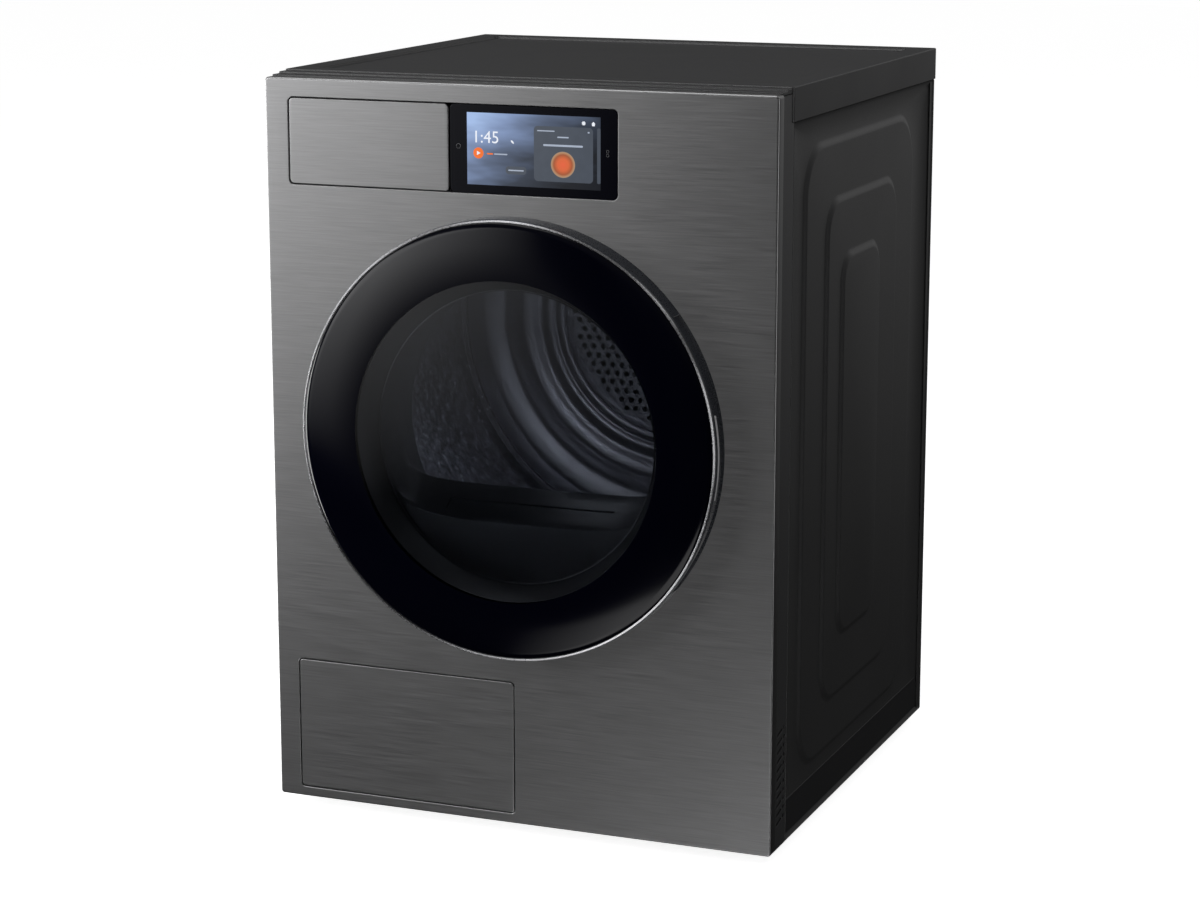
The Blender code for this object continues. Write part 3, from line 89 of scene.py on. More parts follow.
BODY_OF = {n: body for body, members in frame["record"]["behaviour"]["bodies"].items() for n in members}
SLOT_OF = {part["node"]: part["material_slot"] for part in frame["record"]["subparts"]}
FRONT = low("front_panel").y
HALF = high("front_panel").x
FLOOR = low("front_panel").z
TOP = high("top_cover").z
DOOR = centre("door_glass")
GLASS_RADIUS = span("door_glass", 0) / 2
GLASS_FRONT, GLASS_BACK = depths_of("door_glass")
RIM_RADIUS = span("door_rim", 2) / 2
DRUM = centre("drum_shell")
DRUM_RADIUS = span("drum_shell", 2) / 2
DRUM_FRONT, DRUM_BACK = depths_of("drum_shell")
SIDE_X = high("side_panel_right").x


# ---- materials ----
def srgb(*levels):
    """Linear colour of 0 to 255 screen levels."""
    return tuple(((v / 255 + 0.055) / 1.055) ** 2.4 if v > 10 else v / 255 / 12.92 for v in levels)


class Shading:
    """A material's node tree, with short ways to add and join nodes."""

    def __init__(self, name):
        self.material = bpy.data.materials.new(name)
        self.material.use_nodes = True
        self.nodes = self.material.node_tree.nodes
        self.shader = self.nodes["Principled BSDF"]

    def add(self, kind, inputs=(), **settings):
        node = self.nodes.new(kind)
        for key, value in settings.items():
            setattr(node, key, value)
        for key, value in dict(inputs).items():
            if isinstance(value, bpy.types.NodeSocket):
                self.material.node_tree.links.new(value, node.inputs[key])
            else:
                node.inputs[key].default_value = value
        return node

    def fix(self, **values):
        """Plain values of the shader's inputs, their names with _ for a space."""
        for socket, value in values.items():
            self.shader.inputs[socket.replace("_", " ")].default_value = value

    def link(self, output, socket):
        self.material.node_tree.links.new(output, self.shader.inputs[socket])

    def object_place(self, scale, turn=(0, 0, 0), shift=(0, 0, 0)):
        where = self.add("ShaderNodeTexCoord").outputs["Object"]
        return self.add(
            "ShaderNodeMapping", {"Vector": where, "Scale": scale, "Rotation": turn, "Location": shift}
        ).outputs["Vector"]

    def polar_place(self, axis, scale):
        """(radius, angle, depth) about an axis along Y."""
        where = self.add("ShaderNodeTexCoord").outputs["Object"]
        parts = self.add("ShaderNodeSeparateXYZ", {0: where}).outputs
        across = self.maths("SUBTRACT", parts["X"], axis[0])
        upwards = self.maths("SUBTRACT", parts["Z"], axis[1])
        squares = self.maths("ADD", self.maths("POWER", across, 2), self.maths("POWER", upwards, 2))
        radius = self.maths("SQRT", squares)
        angle = self.maths("ARCTAN2", upwards, across)
        packed = self.add("ShaderNodeCombineXYZ", {"X": radius, "Y": angle, "Z": parts["Y"]}).outputs[0]
        return self.add("ShaderNodeMapping", {"Vector": packed, "Scale": scale}).outputs["Vector"]

    def maths(self, operation, first, second=0.0):
        return self.add("ShaderNodeMath", {0: first, 1: second}, operation=operation).outputs[0]

    def blend(self, fine, broad, share):
        """Two patterns added, the first with a share of the whole."""
        return self.maths(
            "ADD", self.maths("MULTIPLY", fine, share), self.maths("MULTIPLY", broad, round(1 - share, 6))
        )

    def noise(self, place, detail=4.0):
        values = {"Vector": place, "Scale": 1.0, "Detail": detail, "Roughness": 0.55}
        return self.add("ShaderNodeTexNoise", values).outputs["Fac"]

    def spread(self, value, start, stop, source=(0.3, 0.7)):
        return self.add(
            "ShaderNodeMapRange",
            {"Value": value, "From Min": source[0], "From Max": source[1], "To Min": start, "To Max": stop},
        ).outputs["Result"]

    def ramp(self, value, stops):
        node = self.add("ShaderNodeValToRGB", {"Fac": value})
        line = node.color_ramp.elements
        while len(line) < len(stops):
            line.new(1.0)
        for element, (position, colour) in zip(line, stops):
            element.position = position
            element.color = (*colour, 1)
        return node.outputs["Color"]

    def bump(self, height, strength, distance=0.0005):
        made = self.add("ShaderNodeBump", {"Height": height, "Strength": strength, "Distance": distance})
        self.link(made.outputs["Normal"], "Normal")


def shaded(colour, change):
    """A darker and a lighter tone either side of a colour."""
    return tuple(c * (1 - change) for c in colour), tuple(c * (1 + change) for c in colour)


def finish(
    name, colour, rough, metal=0.0, grain=(300,) * 3, shade=0.08, gloss=0.05, bump=0.06, around=None, **more
):
    """A painted, moulded or metal surface: colour, roughness and height all follow one fine grain."""
    made = Shading(name)
    place = made.polar_place(around, grain) if around else made.object_place(grain)
    fine = made.noise(place)
    broad = made.noise(made.object_place((7, 7, 7)), detail=2)
    mixed = made.blend(fine, broad, 0.7)
    dark, light = shaded(colour, shade)
    made.link(made.ramp(mixed, ((0.36, dark), (0.64, light))), "Base Color")
    made.link(made.spread(mixed, rough - gloss, rough + gloss), "Roughness")
    made.fix(Metallic=metal, **more)
    made.bump(fine, bump)
    return made.material


def see_through(name, tint, rough, reflect=1.45):
    """Coated glass: it lets a tint through and reflects at its surface."""
    made = Shading(name)
    made.nodes.remove(made.shader)
    smear = made.noise(made.object_place((9, 9, 9)), detail=2)
    darker = tuple(c * 0.94 for c in tint)
    colour = made.ramp(smear, ((0.3, darker), (0.7, tint)))
    clear = made.add("ShaderNodeBsdfTransparent", {"Color": colour}).outputs[0]
    haze = made.spread(smear, rough * 0.9, rough * 1.1)
    shine = made.add("ShaderNodeBsdfGlossy", {"Roughness": haze}).outputs[0]
    share = made.add("ShaderNodeFresnel", {"IOR": reflect}).outputs[0]
    mixed = made.add("ShaderNodeMixShader", {0: share, 1: clear, 2: shine}).outputs[0]
    made.material.node_tree.links.new(mixed, made.nodes["Material Output"].inputs["Surface"])
    return made.material


def brushed(name, colour, rough):
    """Steel brushed along X: long fine streaks over broader ones."""
    made = Shading(name)
    fine = made.noise(made.object_place((26, 26, 1500)), detail=3)
    broad = made.noise(made.object_place((11, 11, 560)), detail=2)
    mixed = made.blend(fine, broad, 0.6)
    dark, light = shaded(colour, 0.11)
    made.link(made.ramp(mixed, ((0.34, dark), (0.66, light))), "Base Color")
    made.link(made.spread(mixed, rough - 0.04, rough + 0.04), "Roughness")
    made.fix(Metallic=1.0, Anisotropic=0.35)
    upright = made.add("ShaderNodeCombineXYZ", {"X": 0.0, "Y": 0.0, "Z": 1.0}).outputs[0]
    made.link(upright, "Tangent")
    made.bump(fine, 0.10, 0.0002)
    return made.material


def woven(name, colour, pitch):
    """Filter mesh: threads both ways."""
    made = Shading(name)
    place = made.object_place((1 / pitch, 1 / pitch, 1 / pitch))
    values = {"Vector": place, "Scale": 1.0}
    waves = [made.add("ShaderNodeTexWave", values, bands_direction=axis).outputs["Fac"] for axis in "XZ"]
    thread = made.maths("MAXIMUM", *waves)
    made.link(made.ramp(thread, ((0.3, tuple(c * 0.3 for c in colour)), (0.8, colour))), "Base Color")
    made.link(made.spread(thread, 0.7, 0.5), "Roughness")
    made.bump(thread, 0.5, 0.0003)
    return made.material


STEEL = brushed("brushed_steel", (0.19, 0.19, 0.192), 0.35)
PAINT = finish("dark_paint", (0.026, 0.026, 0.0265), 0.40, bump=0.10, grain=(700,) * 3)
LID_PAINT = finish("lid_paint", (0.0145, 0.0145, 0.0155), 0.43, bump=0.12, grain=(800,) * 3)
BLACK = finish("black_plastic", (0.010, 0.010, 0.011), 0.45, grain=(900,) * 3, bump=0.08)
STRIP = finish("strip_plastic", (0.032, 0.032, 0.033), 0.40, grain=(900,) * 3)
TUNNEL = finish("opening_plastic", (0.055, 0.056, 0.060), 0.38, grain=(600,) * 3)
LIP = finish("lip_plastic", (0.045, 0.046, 0.050), 0.34, grain=(600,) * 3)
# Pocket finish: black plastic made darker and duller than BLACK, partly its own black and partly painted
# shade for the shade inside the grip pocket.
POCKET = finish(
    "pocket_black_and_shade", (0.0015, 0.0015, 0.002), 0.6, gloss=0.03, grain=(900,) * 3, Specular_IOR_Level=0.12
)
GREY = finish("grey_plastic", (0.16, 0.16, 0.165), 0.45)
TANK = finish("tank_plastic", (0.42, 0.43, 0.44), 0.35)
RIM = finish("rim_plastic", (0.026, 0.028, 0.034), 0.28, grain=(900,) * 3, bump=0.03)
TRIM = finish("trim_metal", (0.30, 0.30, 0.31), 0.28, metal=1.0, around=DOOR, grain=(40, 60, 900))
LIGHT = finish("light_plastic", (0.50, 0.50, 0.51), 0.42)
GLASS = finish(
    "black_glass",
    (0.0007, 0.0008, 0.0032),
    0.13,
    gloss=0.008,
    grain=(5,) * 3,
    bump=0.0,
    Specular_IOR_Level=0.115,
)
PANE = see_through("tinted_glass", (0.52, 0.54, 0.58), 0.06)
BOWL = see_through("bowl_glass", (0.90, 0.91, 0.92), 0.05, 1.06)
# Drum steel: strong fine light and dark mottle (shade 0.5), partly random tone and partly painted glints
# standing in for the bright speckles of light on the embossed wall.
DRUM_STEEL = finish(
    "drum_steel", (0.36, 0.36, 0.38), 0.24, metal=1.0, grain=(110,) * 3, shade=0.5, bump=0.35
)
BACK_STEEL = finish(
    "back_steel", (0.30, 0.30, 0.32), 0.42, metal=1.0, around=DRUM, grain=(900, 12, 30), bump=0.03
)
PLATE_STEEL = finish("plate_steel", (0.60, 0.60, 0.63), 0.50, metal=1.0, grain=(60,) * 3)
ZINC = finish("zinc_steel", (0.42, 0.43, 0.44), 0.42, metal=1.0, grain=(60,) * 3, shade=0.2)
BRIGHT = finish("bearing_steel", (0.62, 0.62, 0.62), 0.22, metal=1.0)
ALUMINIUM = finish("aluminium", (0.60, 0.61, 0.62), 0.35, metal=1.0, grain=(20, 400, 400))
ENAMEL = finish("black_enamel", (0.012, 0.012, 0.013), 0.30, grain=(200,) * 3)
RUBBER = finish("rubber", (0.014, 0.014, 0.014), 0.75, grain=(500,) * 3, bump=0.15)
FELT = finish("felt", (0.22, 0.21, 0.19), 0.95, grain=(500,) * 3, shade=0.3, bump=0.5)
MESH = woven("filter_mesh", (0.12, 0.12, 0.13), 0.0012)

SLOT_FINISH = {
    "steel_front": STEEL,
    "dark_shell": PAINT,
    "black_plastic": BLACK,
    "grey_plastic": GREY,
    "light_plastic": LIGHT,
    "door_glass": GLASS,
    "window_glass": BOWL,
    "display": GLASS,
    "drum_steel": DRUM_STEEL,
    "zinc_steel": ZINC,
    "bearing_steel": BRIGHT,
    "aluminium": ALUMINIUM,
    "machine_black": ENAMEL,
    "rubber": RUBBER,
    "felt": FELT,
}
for node_name, node in frame["nodes"].items():
    node.data.materials.clear()
    node.data.materials.append(SLOT_FINISH[SLOT_OF[node_name]])


# ---- outlines ----
def arc(x, y, radius, start, stop, steps):
    """Points on an arc, angles in degrees, both ends included."""
    turns = [math.radians(start + (stop - start) * i / steps) for i in range(steps + 1)]
    return [(x + radius * math.cos(t), y + radius * math.sin(t)) for t in turns]


def circle(middle, radius, sides):
    return arc(*middle, radius, 0, 360, sides)[:-1]


def rounded(xs, ys, radius, steps=8):
    """A rectangle with round corners, anticlockwise."""
    left, right = xs[0] + radius, xs[1] - radius
    bottom, top = ys[0] + radius, ys[1] - radius
    return (
        arc(right, top, radius, 0, 90, steps)
        + arc(left, top, radius, 90, 180, steps)
        + arc(left, bottom, radius, 180, 270, steps)
        + arc(right, bottom, radius, 270, 360, steps)
    )


def face_of(node, radius):
    """A node's outline in the front view, with round corners."""
    return rounded((low(node).x, high(node).x), (low(node).z, high(node).z), radius)


def offset(points, distance):
    """An anticlockwise outline moved outwards by a distance."""
    moved = []
    for before, here, after in zip(points[-1:] + points[:-1], points, points[1:] + points[:1]):
        sides = []
        for a, b in ((before, here), (here, after)):
            length = math.hypot(b[0] - a[0], b[1] - a[1])
            sides.append(((b[1] - a[1]) / length, (a[0] - b[0]) / length))
        (ax, ay), (bx, by) = sides
        share = distance / (1 + ax * bx + ay * by)
        moved.append((here[0] + share * (ax + bx), here[1] + share * (ay + by)))
    return moved


def eased(points, radius, closed=True, steps=4):
    """A path of (u, v) points whose corners are rounded by about a radius."""
    made = []
    count = len(points)
    for i, here in enumerate(points):
        if not closed and i in (0, count - 1):
            made.append(here)
            continue
        here = Vector(here)
        back, ahead = Vector(points[i - 1]) - here, Vector(points[(i + 1) % count]) - here
        start = here + back.normalized() * min(radius, back.length * 0.45)
        stop = here + ahead.normalized() * min(radius, ahead.length * 0.45)
        for step in range(steps + 1):
            t = step / steps
            made.append(tuple(start * (1 - t) ** 2 + here * 2 * t * (1 - t) + stop * t * t))
    return made


# ---- builders ----
def to_object(name, shape, material, smooth=35.0):
    """An object from a bmesh, with soft shading up to an angle."""
    mesh = bpy.data.meshes.new(name)
    shape.to_mesh(mesh)
    shape.free()
    for each in material if isinstance(material, tuple) else (material,):
        mesh.materials.append(each)
    mesh.shade_smooth()
    mesh.set_sharp_from_angle(angle=math.radians(smooth))
    made = bpy.data.objects.new(name, mesh)
    bpy.context.scene.collection.objects.link(made)
    return made


def goes_with(piece, node):
    """The piece rides with the node's body."""
    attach(piece, BODY_OF[node])
    return piece


def stands_for(piece, node):
    """The piece goes with the node and is shown in its place."""
    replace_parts(goes_with(piece, node), node)
    return piece


def bridge(shape, rings):
    """Joins neighbouring rings of equally many points."""
    for near, far in zip(rings, rings[1:]):
        for i in range(len(near)):
            j = (i + 1) % len(near)
            shape.faces.new((near[i], near[j], far[j], far[i]))


def turn_towards(shape, facing):
    """Turns the skin over where its largest face looks away from a direction."""
    bmesh.ops.recalc_face_normals(shape, faces=shape.faces)
    largest = max(shape.faces, key=lambda face: face.calc_area())
    if largest.normal.dot(Vector(facing)) < 0:
        bmesh.ops.reverse_faces(shape, faces=shape.faces)


def thicken(piece, thick):
    """Gives a skin its thickness, inwards."""
    skin = piece.modifiers.new("sheet", "SOLIDIFY")
    skin.thickness = thick
    skin.offset = -1


def turned(name, profile, middle, material, steps=160, closed=True, zone=None):
    """A profile of (radius, depth) turned about an axis along Y. Faces within the zone take material 1."""
    shape = bmesh.new()
    rings = []
    for radius, depth in profile:
        if radius < 1e-6:
            rings.append([shape.verts.new((middle[0], FRONT + depth, middle[1]))] * steps)
        else:
            ring = circle(middle, radius, steps)
            rings.append([shape.verts.new((x, FRONT + depth, z)) for x, z in ring])
    pairs = list(zip(rings, rings[1:]))
    if closed:
        pairs.append((rings[-1], rings[0]))
    for near, far in pairs:
        for i in range(steps):
            j = (i + 1) % steps
            corners = list(dict.fromkeys((near[i], near[j], far[j], far[i])))
            if len(corners) > 2:
                shape.faces.new(corners)
    bmesh.ops.recalc_face_normals(shape, faces=shape.faces)
    if zone:
        for face in shape.faces:
            spot = face.calc_center_median()
            face.material_index = int(math.hypot(spot.x - middle[0], spot.z - middle[1]) < zone)
    return to_object(name, shape, material)


def lofted(name, loops, material, smooth=35.0, ends="whole"):
    """Closed loops of equally many points, joined and capped: "whole", or in a "strip" for a crescent."""
    shape = bmesh.new()
    rings = [[shape.verts.new(point) for point in loop] for loop in loops]
    bridge(shape, rings)
    count = len(rings[0])
    for ring in (rings[0], rings[-1]):
        if ends == "whole":
            shape.faces.new(ring)
            continue
        for i in range(count // 2 - 1):
            shape.faces.new((ring[i], ring[i + 1], ring[count - 2 - i], ring[count - 1 - i]))
    bmesh.ops.recalc_face_normals(shape, faces=shape.faces)
    if shape.calc_volume(signed=True) < 0:
        bmesh.ops.reverse_faces(shape, faces=shape.faces)
    return to_object(name, shape, material, smooth)


def front_place(u, v, depth):
    return (u, FRONT + depth, v)


def prism(name, outline, near, far, material, bevel=0.0, place=front_place):
    """An outline made thick, its edges rounded by a bevel."""
    loops = [[place(u, v, depth) for u, v in outline] for depth in (near, far)]
    made = lofted(name, loops, material, smooth=30.0)
    if bevel:
        round_edges(made, bevel)
    return made


def round_edges(piece, width, steps=3, angle=35.0):
    rounding = piece.modifiers.new("edges", "BEVEL")
    rounding.width = width
    rounding.segments = steps
    rounding.limit_method = "ANGLE"
    rounding.angle_limit = math.radians(angle)
    rounding.miter_outer = "MITER_ARC"
    weigh = piece.modifiers.new("normals", "WEIGHTED_NORMAL")
    weigh.keep_sharp = False
    piece.data.shade_smooth()
    return piece


def quarter(radius, steps=5):
    """A rounded edge as (inset, depth), from the face round to the wall."""
    turns = [math.radians(90 * i / steps) for i in range(steps + 1)]
    return [(radius * (1 - math.sin(t)), radius * (1 - math.cos(t))) for t in turns]


def pressed(name, outer, holes, edge, hole_edge, material, thick, place=front_place, facing=(0, -1, 0)):
    """Sheet with a flat face. Its outline and its holes fold back along (inset, depth) edges."""
    shape = bmesh.new()
    rims = []
    for outline, profile, sign in [(outer, edge, -1)] + [(hole, hole_edge, 1) for hole in holes]:
        rings = []
        for inset, depth in profile:
            loop = offset(outline, sign * inset) if inset else outline
            rings.append([shape.verts.new(place(u, v, depth)) for u, v in loop])
        bridge(shape, rings)
        first = rings[0]
        rims += [shape.edges.get((a, b)) for a, b in zip(first, first[1:] + first[:1])]
    bmesh.ops.triangle_fill(shape, use_beauty=True, edges=rims, normal=facing)
    turn_towards(shape, facing)
    made = to_object(name, shape, material, 180.0)
    thicken(made, thick)
    weigh = made.modifiers.new("normals", "WEIGHTED_NORMAL")
    weigh.keep_sharp = True
    weigh.thresh = 0.0
    return made


def softened(node, material=None, width=0.0008, steps=2):
    """The CAD node's own shape with its edges rounded."""
    shape = bmesh.new()
    shape.from_mesh(frame["nodes"][node].data)
    bmesh.ops.remove_doubles(shape, verts=shape.verts, dist=1e-6)
    bmesh.ops.dissolve_limit(shape, angle_limit=math.radians(1), verts=shape.verts, edges=shape.edges)
    for face in shape.faces:
        face.material_index = 0
    made = to_object(node + "_shape", shape, material or SLOT_FINISH[SLOT_OF[node]])
    round_edges(made, width, steps)
    return stands_for(made, node)


def tiles(name, outlines, near, far, material):
    """Several flat shapes of one object, facing the front."""
    shape = bmesh.new()
    for outline in outlines:
        rings = [[shape.verts.new(front_place(u, v, depth)) for u, v in outline] for depth in (near, far)]
        shape.faces.new(rings[0])
        shape.faces.new(rings[1])
        bridge(shape, rings)
    bmesh.ops.recalc_face_normals(shape, faces=shape.faces)
    return to_object(name, shape, material, 30.0)


def cut(piece, *cutters):
    """Takes the cutters out of the piece for good."""
    for cutter in cutters:
        step = piece.modifiers.new("cut", "BOOLEAN")
        step.operation = "DIFFERENCE"
        step.object = cutter
    graph = bpy.context.evaluated_depsgraph_get()
    mesh = bpy.data.meshes.new_from_object(piece.evaluated_get(graph))
    piece.modifiers.clear()
    piece.data = mesh
    for cutter in cutters:
        bpy.data.objects.remove(cutter)
    piece.data.shade_smooth()
    piece.data.set_sharp_from_angle(angle=math.radians(35))


def block(name, xs, depths, zs):
    outline = [(xs[0], zs[0]), (xs[1], zs[0]), (xs[1], zs[1]), (xs[0], zs[1])]
    return prism(name, outline, *depths, BLACK)


# ---- front panel ----
PANEL_EDGE = 0.0024
PANEL_RETURN = depths_of("front_panel")[1]
CORNER = 0.003
GAP = 0.001  # round each cover in the panel
APERTURE = 0.196
HOOK_WIDE, HOOK_TALL = 0.0095, 0.016


def front_panel():
    """Pressed sheet with openings for the band, the flap, the door and its hook."""
    outer = rounded((-HALF, HALF), (FLOOR, high("front_panel").z), CORNER + 0.0012)
    band_low, band_high = low("drawer_front"), high("drawer_front")
    flap_low, flap_high = low("service_flap"), high("service_flap")
    hook_x = (low("door_hook").x + high("door_hook").x) / 2
    band_right = high("display_glass").x + 0.0005
    holes = [
        rounded((band_low.x - GAP, band_right), (band_low.z - GAP, band_high.z + GAP), 0.006),
        rounded((flap_low.x - GAP, flap_high.x + GAP), (flap_low.z - GAP, flap_high.z + GAP), 0.005),
        circle(DOOR, APERTURE, 128),
        rounded(
            (hook_x - HOOK_WIDE, hook_x + HOOK_WIDE), (DOOR[1] - HOOK_TALL, DOOR[1] + HOOK_TALL), 0.002, 4
        ),
    ]
    edge = quarter(PANEL_EDGE) + [(0, PANEL_RETURN)]
    hole_edge = quarter(0.0009, 4) + [(0, 0.0035)]
    sheet = pressed("front_sheet", outer, holes, edge, hole_edge, STEEL, 0.0008)
    stands_for(sheet, "front_panel")


def steel_face(name, node, radius):
    """Brushed cover with a rounded edge."""
    depth = depths_of(node)[0]
    edge = [(inset, depth + back) for inset, back in quarter(0.0009, 4)] + [(0, depth + span(node, 1))]
    stands_for(pressed(name, face_of(node, radius), [], edge, [], STEEL, 0.0010), node)


front_panel()
steel_face("drawer_cover", "drawer_front", 0.005)
steel_face("flap_cover", "service_flap", 0.004)
softened("water_tank", TANK, 0.0006)
softened("flap_surround", BLACK, 0.0005)
softened("control_housing", BLACK, 0.0005)


# ---- display ----
def lit(made, picture, rough, base=(0.004, 0.004, 0.004, 1)):
    """The material of a screen part that glows with a picture."""
    made.link(picture, "Emission Color")
    made.fix(Emission_Strength=1.0, Base_Color=base, Roughness=rough)
    return made.material


def glowing(name, colour):
    """A lit mark on the screen, slightly uneven."""
    made = Shading(name)
    glow = made.noise(made.object_place((90, 90, 90)), detail=1)
    dim = tuple(c * 0.92 for c in colour)
    return lit(made, made.ramp(glow, ((0.3, dim), (0.7, colour))), 0.1)


SCREEN_LEFT, SCREEN_RIGHT = 0.2447 - HALF, 0.4001 - HALF
SCREEN_LOW, SCREEN_HIGH = low("display_glass").z + 0.0095, high("display_glass").z - 0.0085
SCREEN_WIDE, SCREEN_TALL = SCREEN_RIGHT - SCREEN_LEFT, SCREEN_HIGH - SCREEN_LOW


def screen_material():
    """Blue-grey picture, lighter at the upper left, with soft slanting beams."""
    made = Shading("screen_picture")
    to_corner = (-SCREEN_LEFT / SCREEN_WIDE, 0, -SCREEN_LOW / SCREEN_TALL)
    across = made.object_place((1 / SCREEN_WIDE, 1, 1 / SCREEN_TALL), shift=to_corner)
    parts = made.add("ShaderNodeSeparateXYZ", {0: across}).outputs
    drop = made.maths("MULTIPLY", made.maths("SUBTRACT", 1.0, parts["Z"]), 0.42)
    slide = made.maths("MULTIPLY", parts["X"], 0.72)
    blend = made.maths("ADD", drop, slide)
    beams = made.noise(made.object_place((16, 1, 60), turn=(0, math.radians(24), 0)), detail=2)
    level = made.maths("ADD", blend, made.spread(beams, 0.10, -0.10))
    stops = (
        (0.02, srgb(158, 184, 226)), (0.22, srgb(122, 142, 180)), (0.45, srgb(84, 98, 124)),
        (0.68, srgb(46, 54, 68)), (1.0, srgb(16, 20, 27)),
    )
    return lit(made, made.ramp(level, stops), 0.08, (0.003, 0.003, 0.004, 1))


def ember_material(middle, radius):
    """Round picture that glows orange in the middle, with a paler ring at its edge."""
    made = Shading("mark_ember")
    place = made.object_place((1, 1, 1), shift=(-middle[0], -FRONT, -middle[1]))
    reach = made.add("ShaderNodeVectorMath", {0: place}, operation="LENGTH").outputs["Value"]
    stops = (
        (0.0, srgb(226, 96, 60)), (0.45, srgb(214, 100, 56)), (0.75, srgb(158, 84, 50)),
        (0.88, srgb(176, 128, 92)), (0.96, srgb(168, 138, 112)), (1.0, srgb(92, 92, 94)),
    )
    return lit(made, made.ramp(made.maths("MULTIPLY", reach, 1 / radius), stops), 0.1)


def on_screen(u, v):
    """A place on the screen, from its left and bottom edges in shares of its size."""
    return SCREEN_LEFT + u * SCREEN_WIDE, SCREEN_LOW + v * SCREEN_TALL


def card_outline(us, vs, radius, steps=8):
    """A rounded card between two shares of the screen's width and two of its height."""
    (x0, z0), (x1, z1) = on_screen(us[0], vs[0]), on_screen(us[1], vs[1])
    return rounded((x0, x1), (z0, z1), radius, steps)


def bar(u0, u1, v, tall):
    """A short bar that stands for a line of small text."""
    (x0, z), (x1, _) = on_screen(u0, v), on_screen(u1, v)
    return rounded((x0, x1), (z - tall / 2, z + tall / 2), tall / 2.2, 3)


EMBER_PLACE = (0.722, 0.33)
EMBER_RADIUS = 0.0142
PLAY_PLACE = (0.086, 0.44)
CARD_HEIGHTS = (0.09, 0.85)


def display():
    """Black glass over a lit picture with cards, lines, icons and a clock, between printed keys."""
    outline = face_of("display_glass", 0.0055)
    cover = prism("display_cover", outline, 0.0006, 0.0030, GLASS, bevel=0.0004)
    stands_for(cover, "display_glass")
    sides = [on_screen(0, 0), on_screen(1, 0), on_screen(1, 1), on_screen(0, 1)]
    white, orange = glowing("mark_white", srgb(238, 242, 250)), glowing("mark_orange", srgb(246, 112, 26))
    soft_white = glowing("mark_grey", srgb(168, 178, 196))
    card = glowing("mark_card", srgb(70, 77, 88))
    ember_spot = on_screen(*EMBER_PLACE)
    ember = ember_material(ember_spot, EMBER_RADIUS)
    cards = [
        card_outline((0.505, 0.945), CARD_HEIGHTS, 0.0045),
        card_outline((0.975, 1.0), CARD_HEIGHTS, 0.0015, 3),
        card_outline((0.292, 0.447), (0.165, 0.275), 0.0035),
    ]
    play = [circle(on_screen(*PLAY_PLACE), 0.0060, 32), bar(0.150, 0.197, 0.435, 0.0016)]
    lines = [
        bar(0.205, 0.305, 0.435, 0.0014),
        bar(0.312, 0.428, 0.22, 0.0014),
        bar(0.53, 0.66, 0.785, 0.0012),
        bar(0.68, 0.765, 0.705, 0.0014),
        bar(0.575, 0.87, 0.59, 0.0021),
        bar(0.905, 0.92, 0.785, 0.0016),
    ]
    layers = (
        ("screen_picture", [sides], 0.00050, screen_material()),
        ("screen_cards", cards, 0.00045, card),
        ("screen_ember", [circle(ember_spot, EMBER_RADIUS, 48)], 0.00035, ember),
        ("screen_play", play, 0.00040, orange),
        ("screen_lines", lines, 0.00035, soft_white),
        ("screen_icons", icons(), 0.00033, white),
    )
    for name, outlines, depth, material in layers:
        goes_with(tiles(name, outlines, depth, depth + 0.0001, material), "display_glass")
    clock = bpy.data.curves.new("screen_digits", "FONT")
    clock.body = "1:45"
    clock.size = 0.0185
    clock.extrude = 0.00004
    clock.materials.append(white)
    digits = bpy.data.objects.new("screen_digits", clock)
    bpy.context.scene.collection.objects.link(digits)
    digits.rotation_euler = (math.radians(90), 0, 0)
    x, z = on_screen(0.04, 0.585)
    digits.location = (x, FRONT + 0.00038, z)
    goes_with(digits, "display_glass")
    keys = finish("key_print", (0.10, 0.10, 0.105), 0.4)
    marks = ring_outlines((0.2343 - HALF, FLOOR + 0.7629), 0.0027, 0.0003)
    marks += ring_outlines((0.4083 - HALF, FLOOR + 0.7640), 0.0017, 0.0003)
    marks += ring_outlines((0.4083 - HALF, FLOOR + 0.7598), 0.0017, 0.0003)
    goes_with(tiles("key_marks", marks, 0.00050, 0.00059, keys), "display_glass")


def ring_outlines(middle, radius, wide, count=12):
    """The outlines of the short flat parts of a thin ring."""
    made = []
    for index in range(count):
        start, stop = 360 * index / count, 360 * (index + 0.98) / count
        made.append(arc(*middle, radius, start, stop, 3) + arc(*middle, radius - wide, stop, start, 3))
    return made


def icons():
    """Play arrow, leaf, toothed wheel and house."""
    px, pz = on_screen(*PLAY_PLACE)
    play = [(px - 0.0017, pz - 0.0023), (px + 0.0025, pz), (px - 0.0017, pz + 0.0023)]
    lx, lz = on_screen(0.355, 0.635)
    leaf = arc(lx, lz, 0.0036, 180, 270, 6) + arc(lx - 0.0036, lz - 0.0036, 0.0036, 0, 90, 6)
    gx, gz = on_screen(0.876, 0.91)
    wheel = []
    for index in range(16):
        radius = 0.0023 if index % 2 else 0.0018
        wheel += arc(gx, gz, radius, 22.5 * index - 8, 22.5 * index + 8, 2)
    hx, hz = on_screen(0.948, 0.905)
    house = [
        (hx - 0.0016, hz - 0.0022), (hx + 0.0016, hz - 0.0022), (hx + 0.0016, hz),
        (hx + 0.0023, hz), (hx, hz + 0.0024), (hx - 0.0023, hz), (hx - 0.0016, hz),
    ]
    return [play, leaf, wheel, house]


display()


# ---- cabinet ----
def side_place(side):
    def place(u, v, depth):
        return (side * (SIDE_X - depth), FRONT + u, v)

    return place


# Front, rear, foot and head of each frame, and its corner radius.
RIBS = (
    (0.096, 0.519, 0.060, 0.768, 0.060), (0.177, 0.455, 0.115, 0.701, 0.045),
    (0.237, 0.390, 0.182, 0.634, 0.035),
)
RIB_FIELD = 0.0034
RIB_CREST = 0.0002
RIB_SLOPE = 0.010
RIB_STEPS = 10


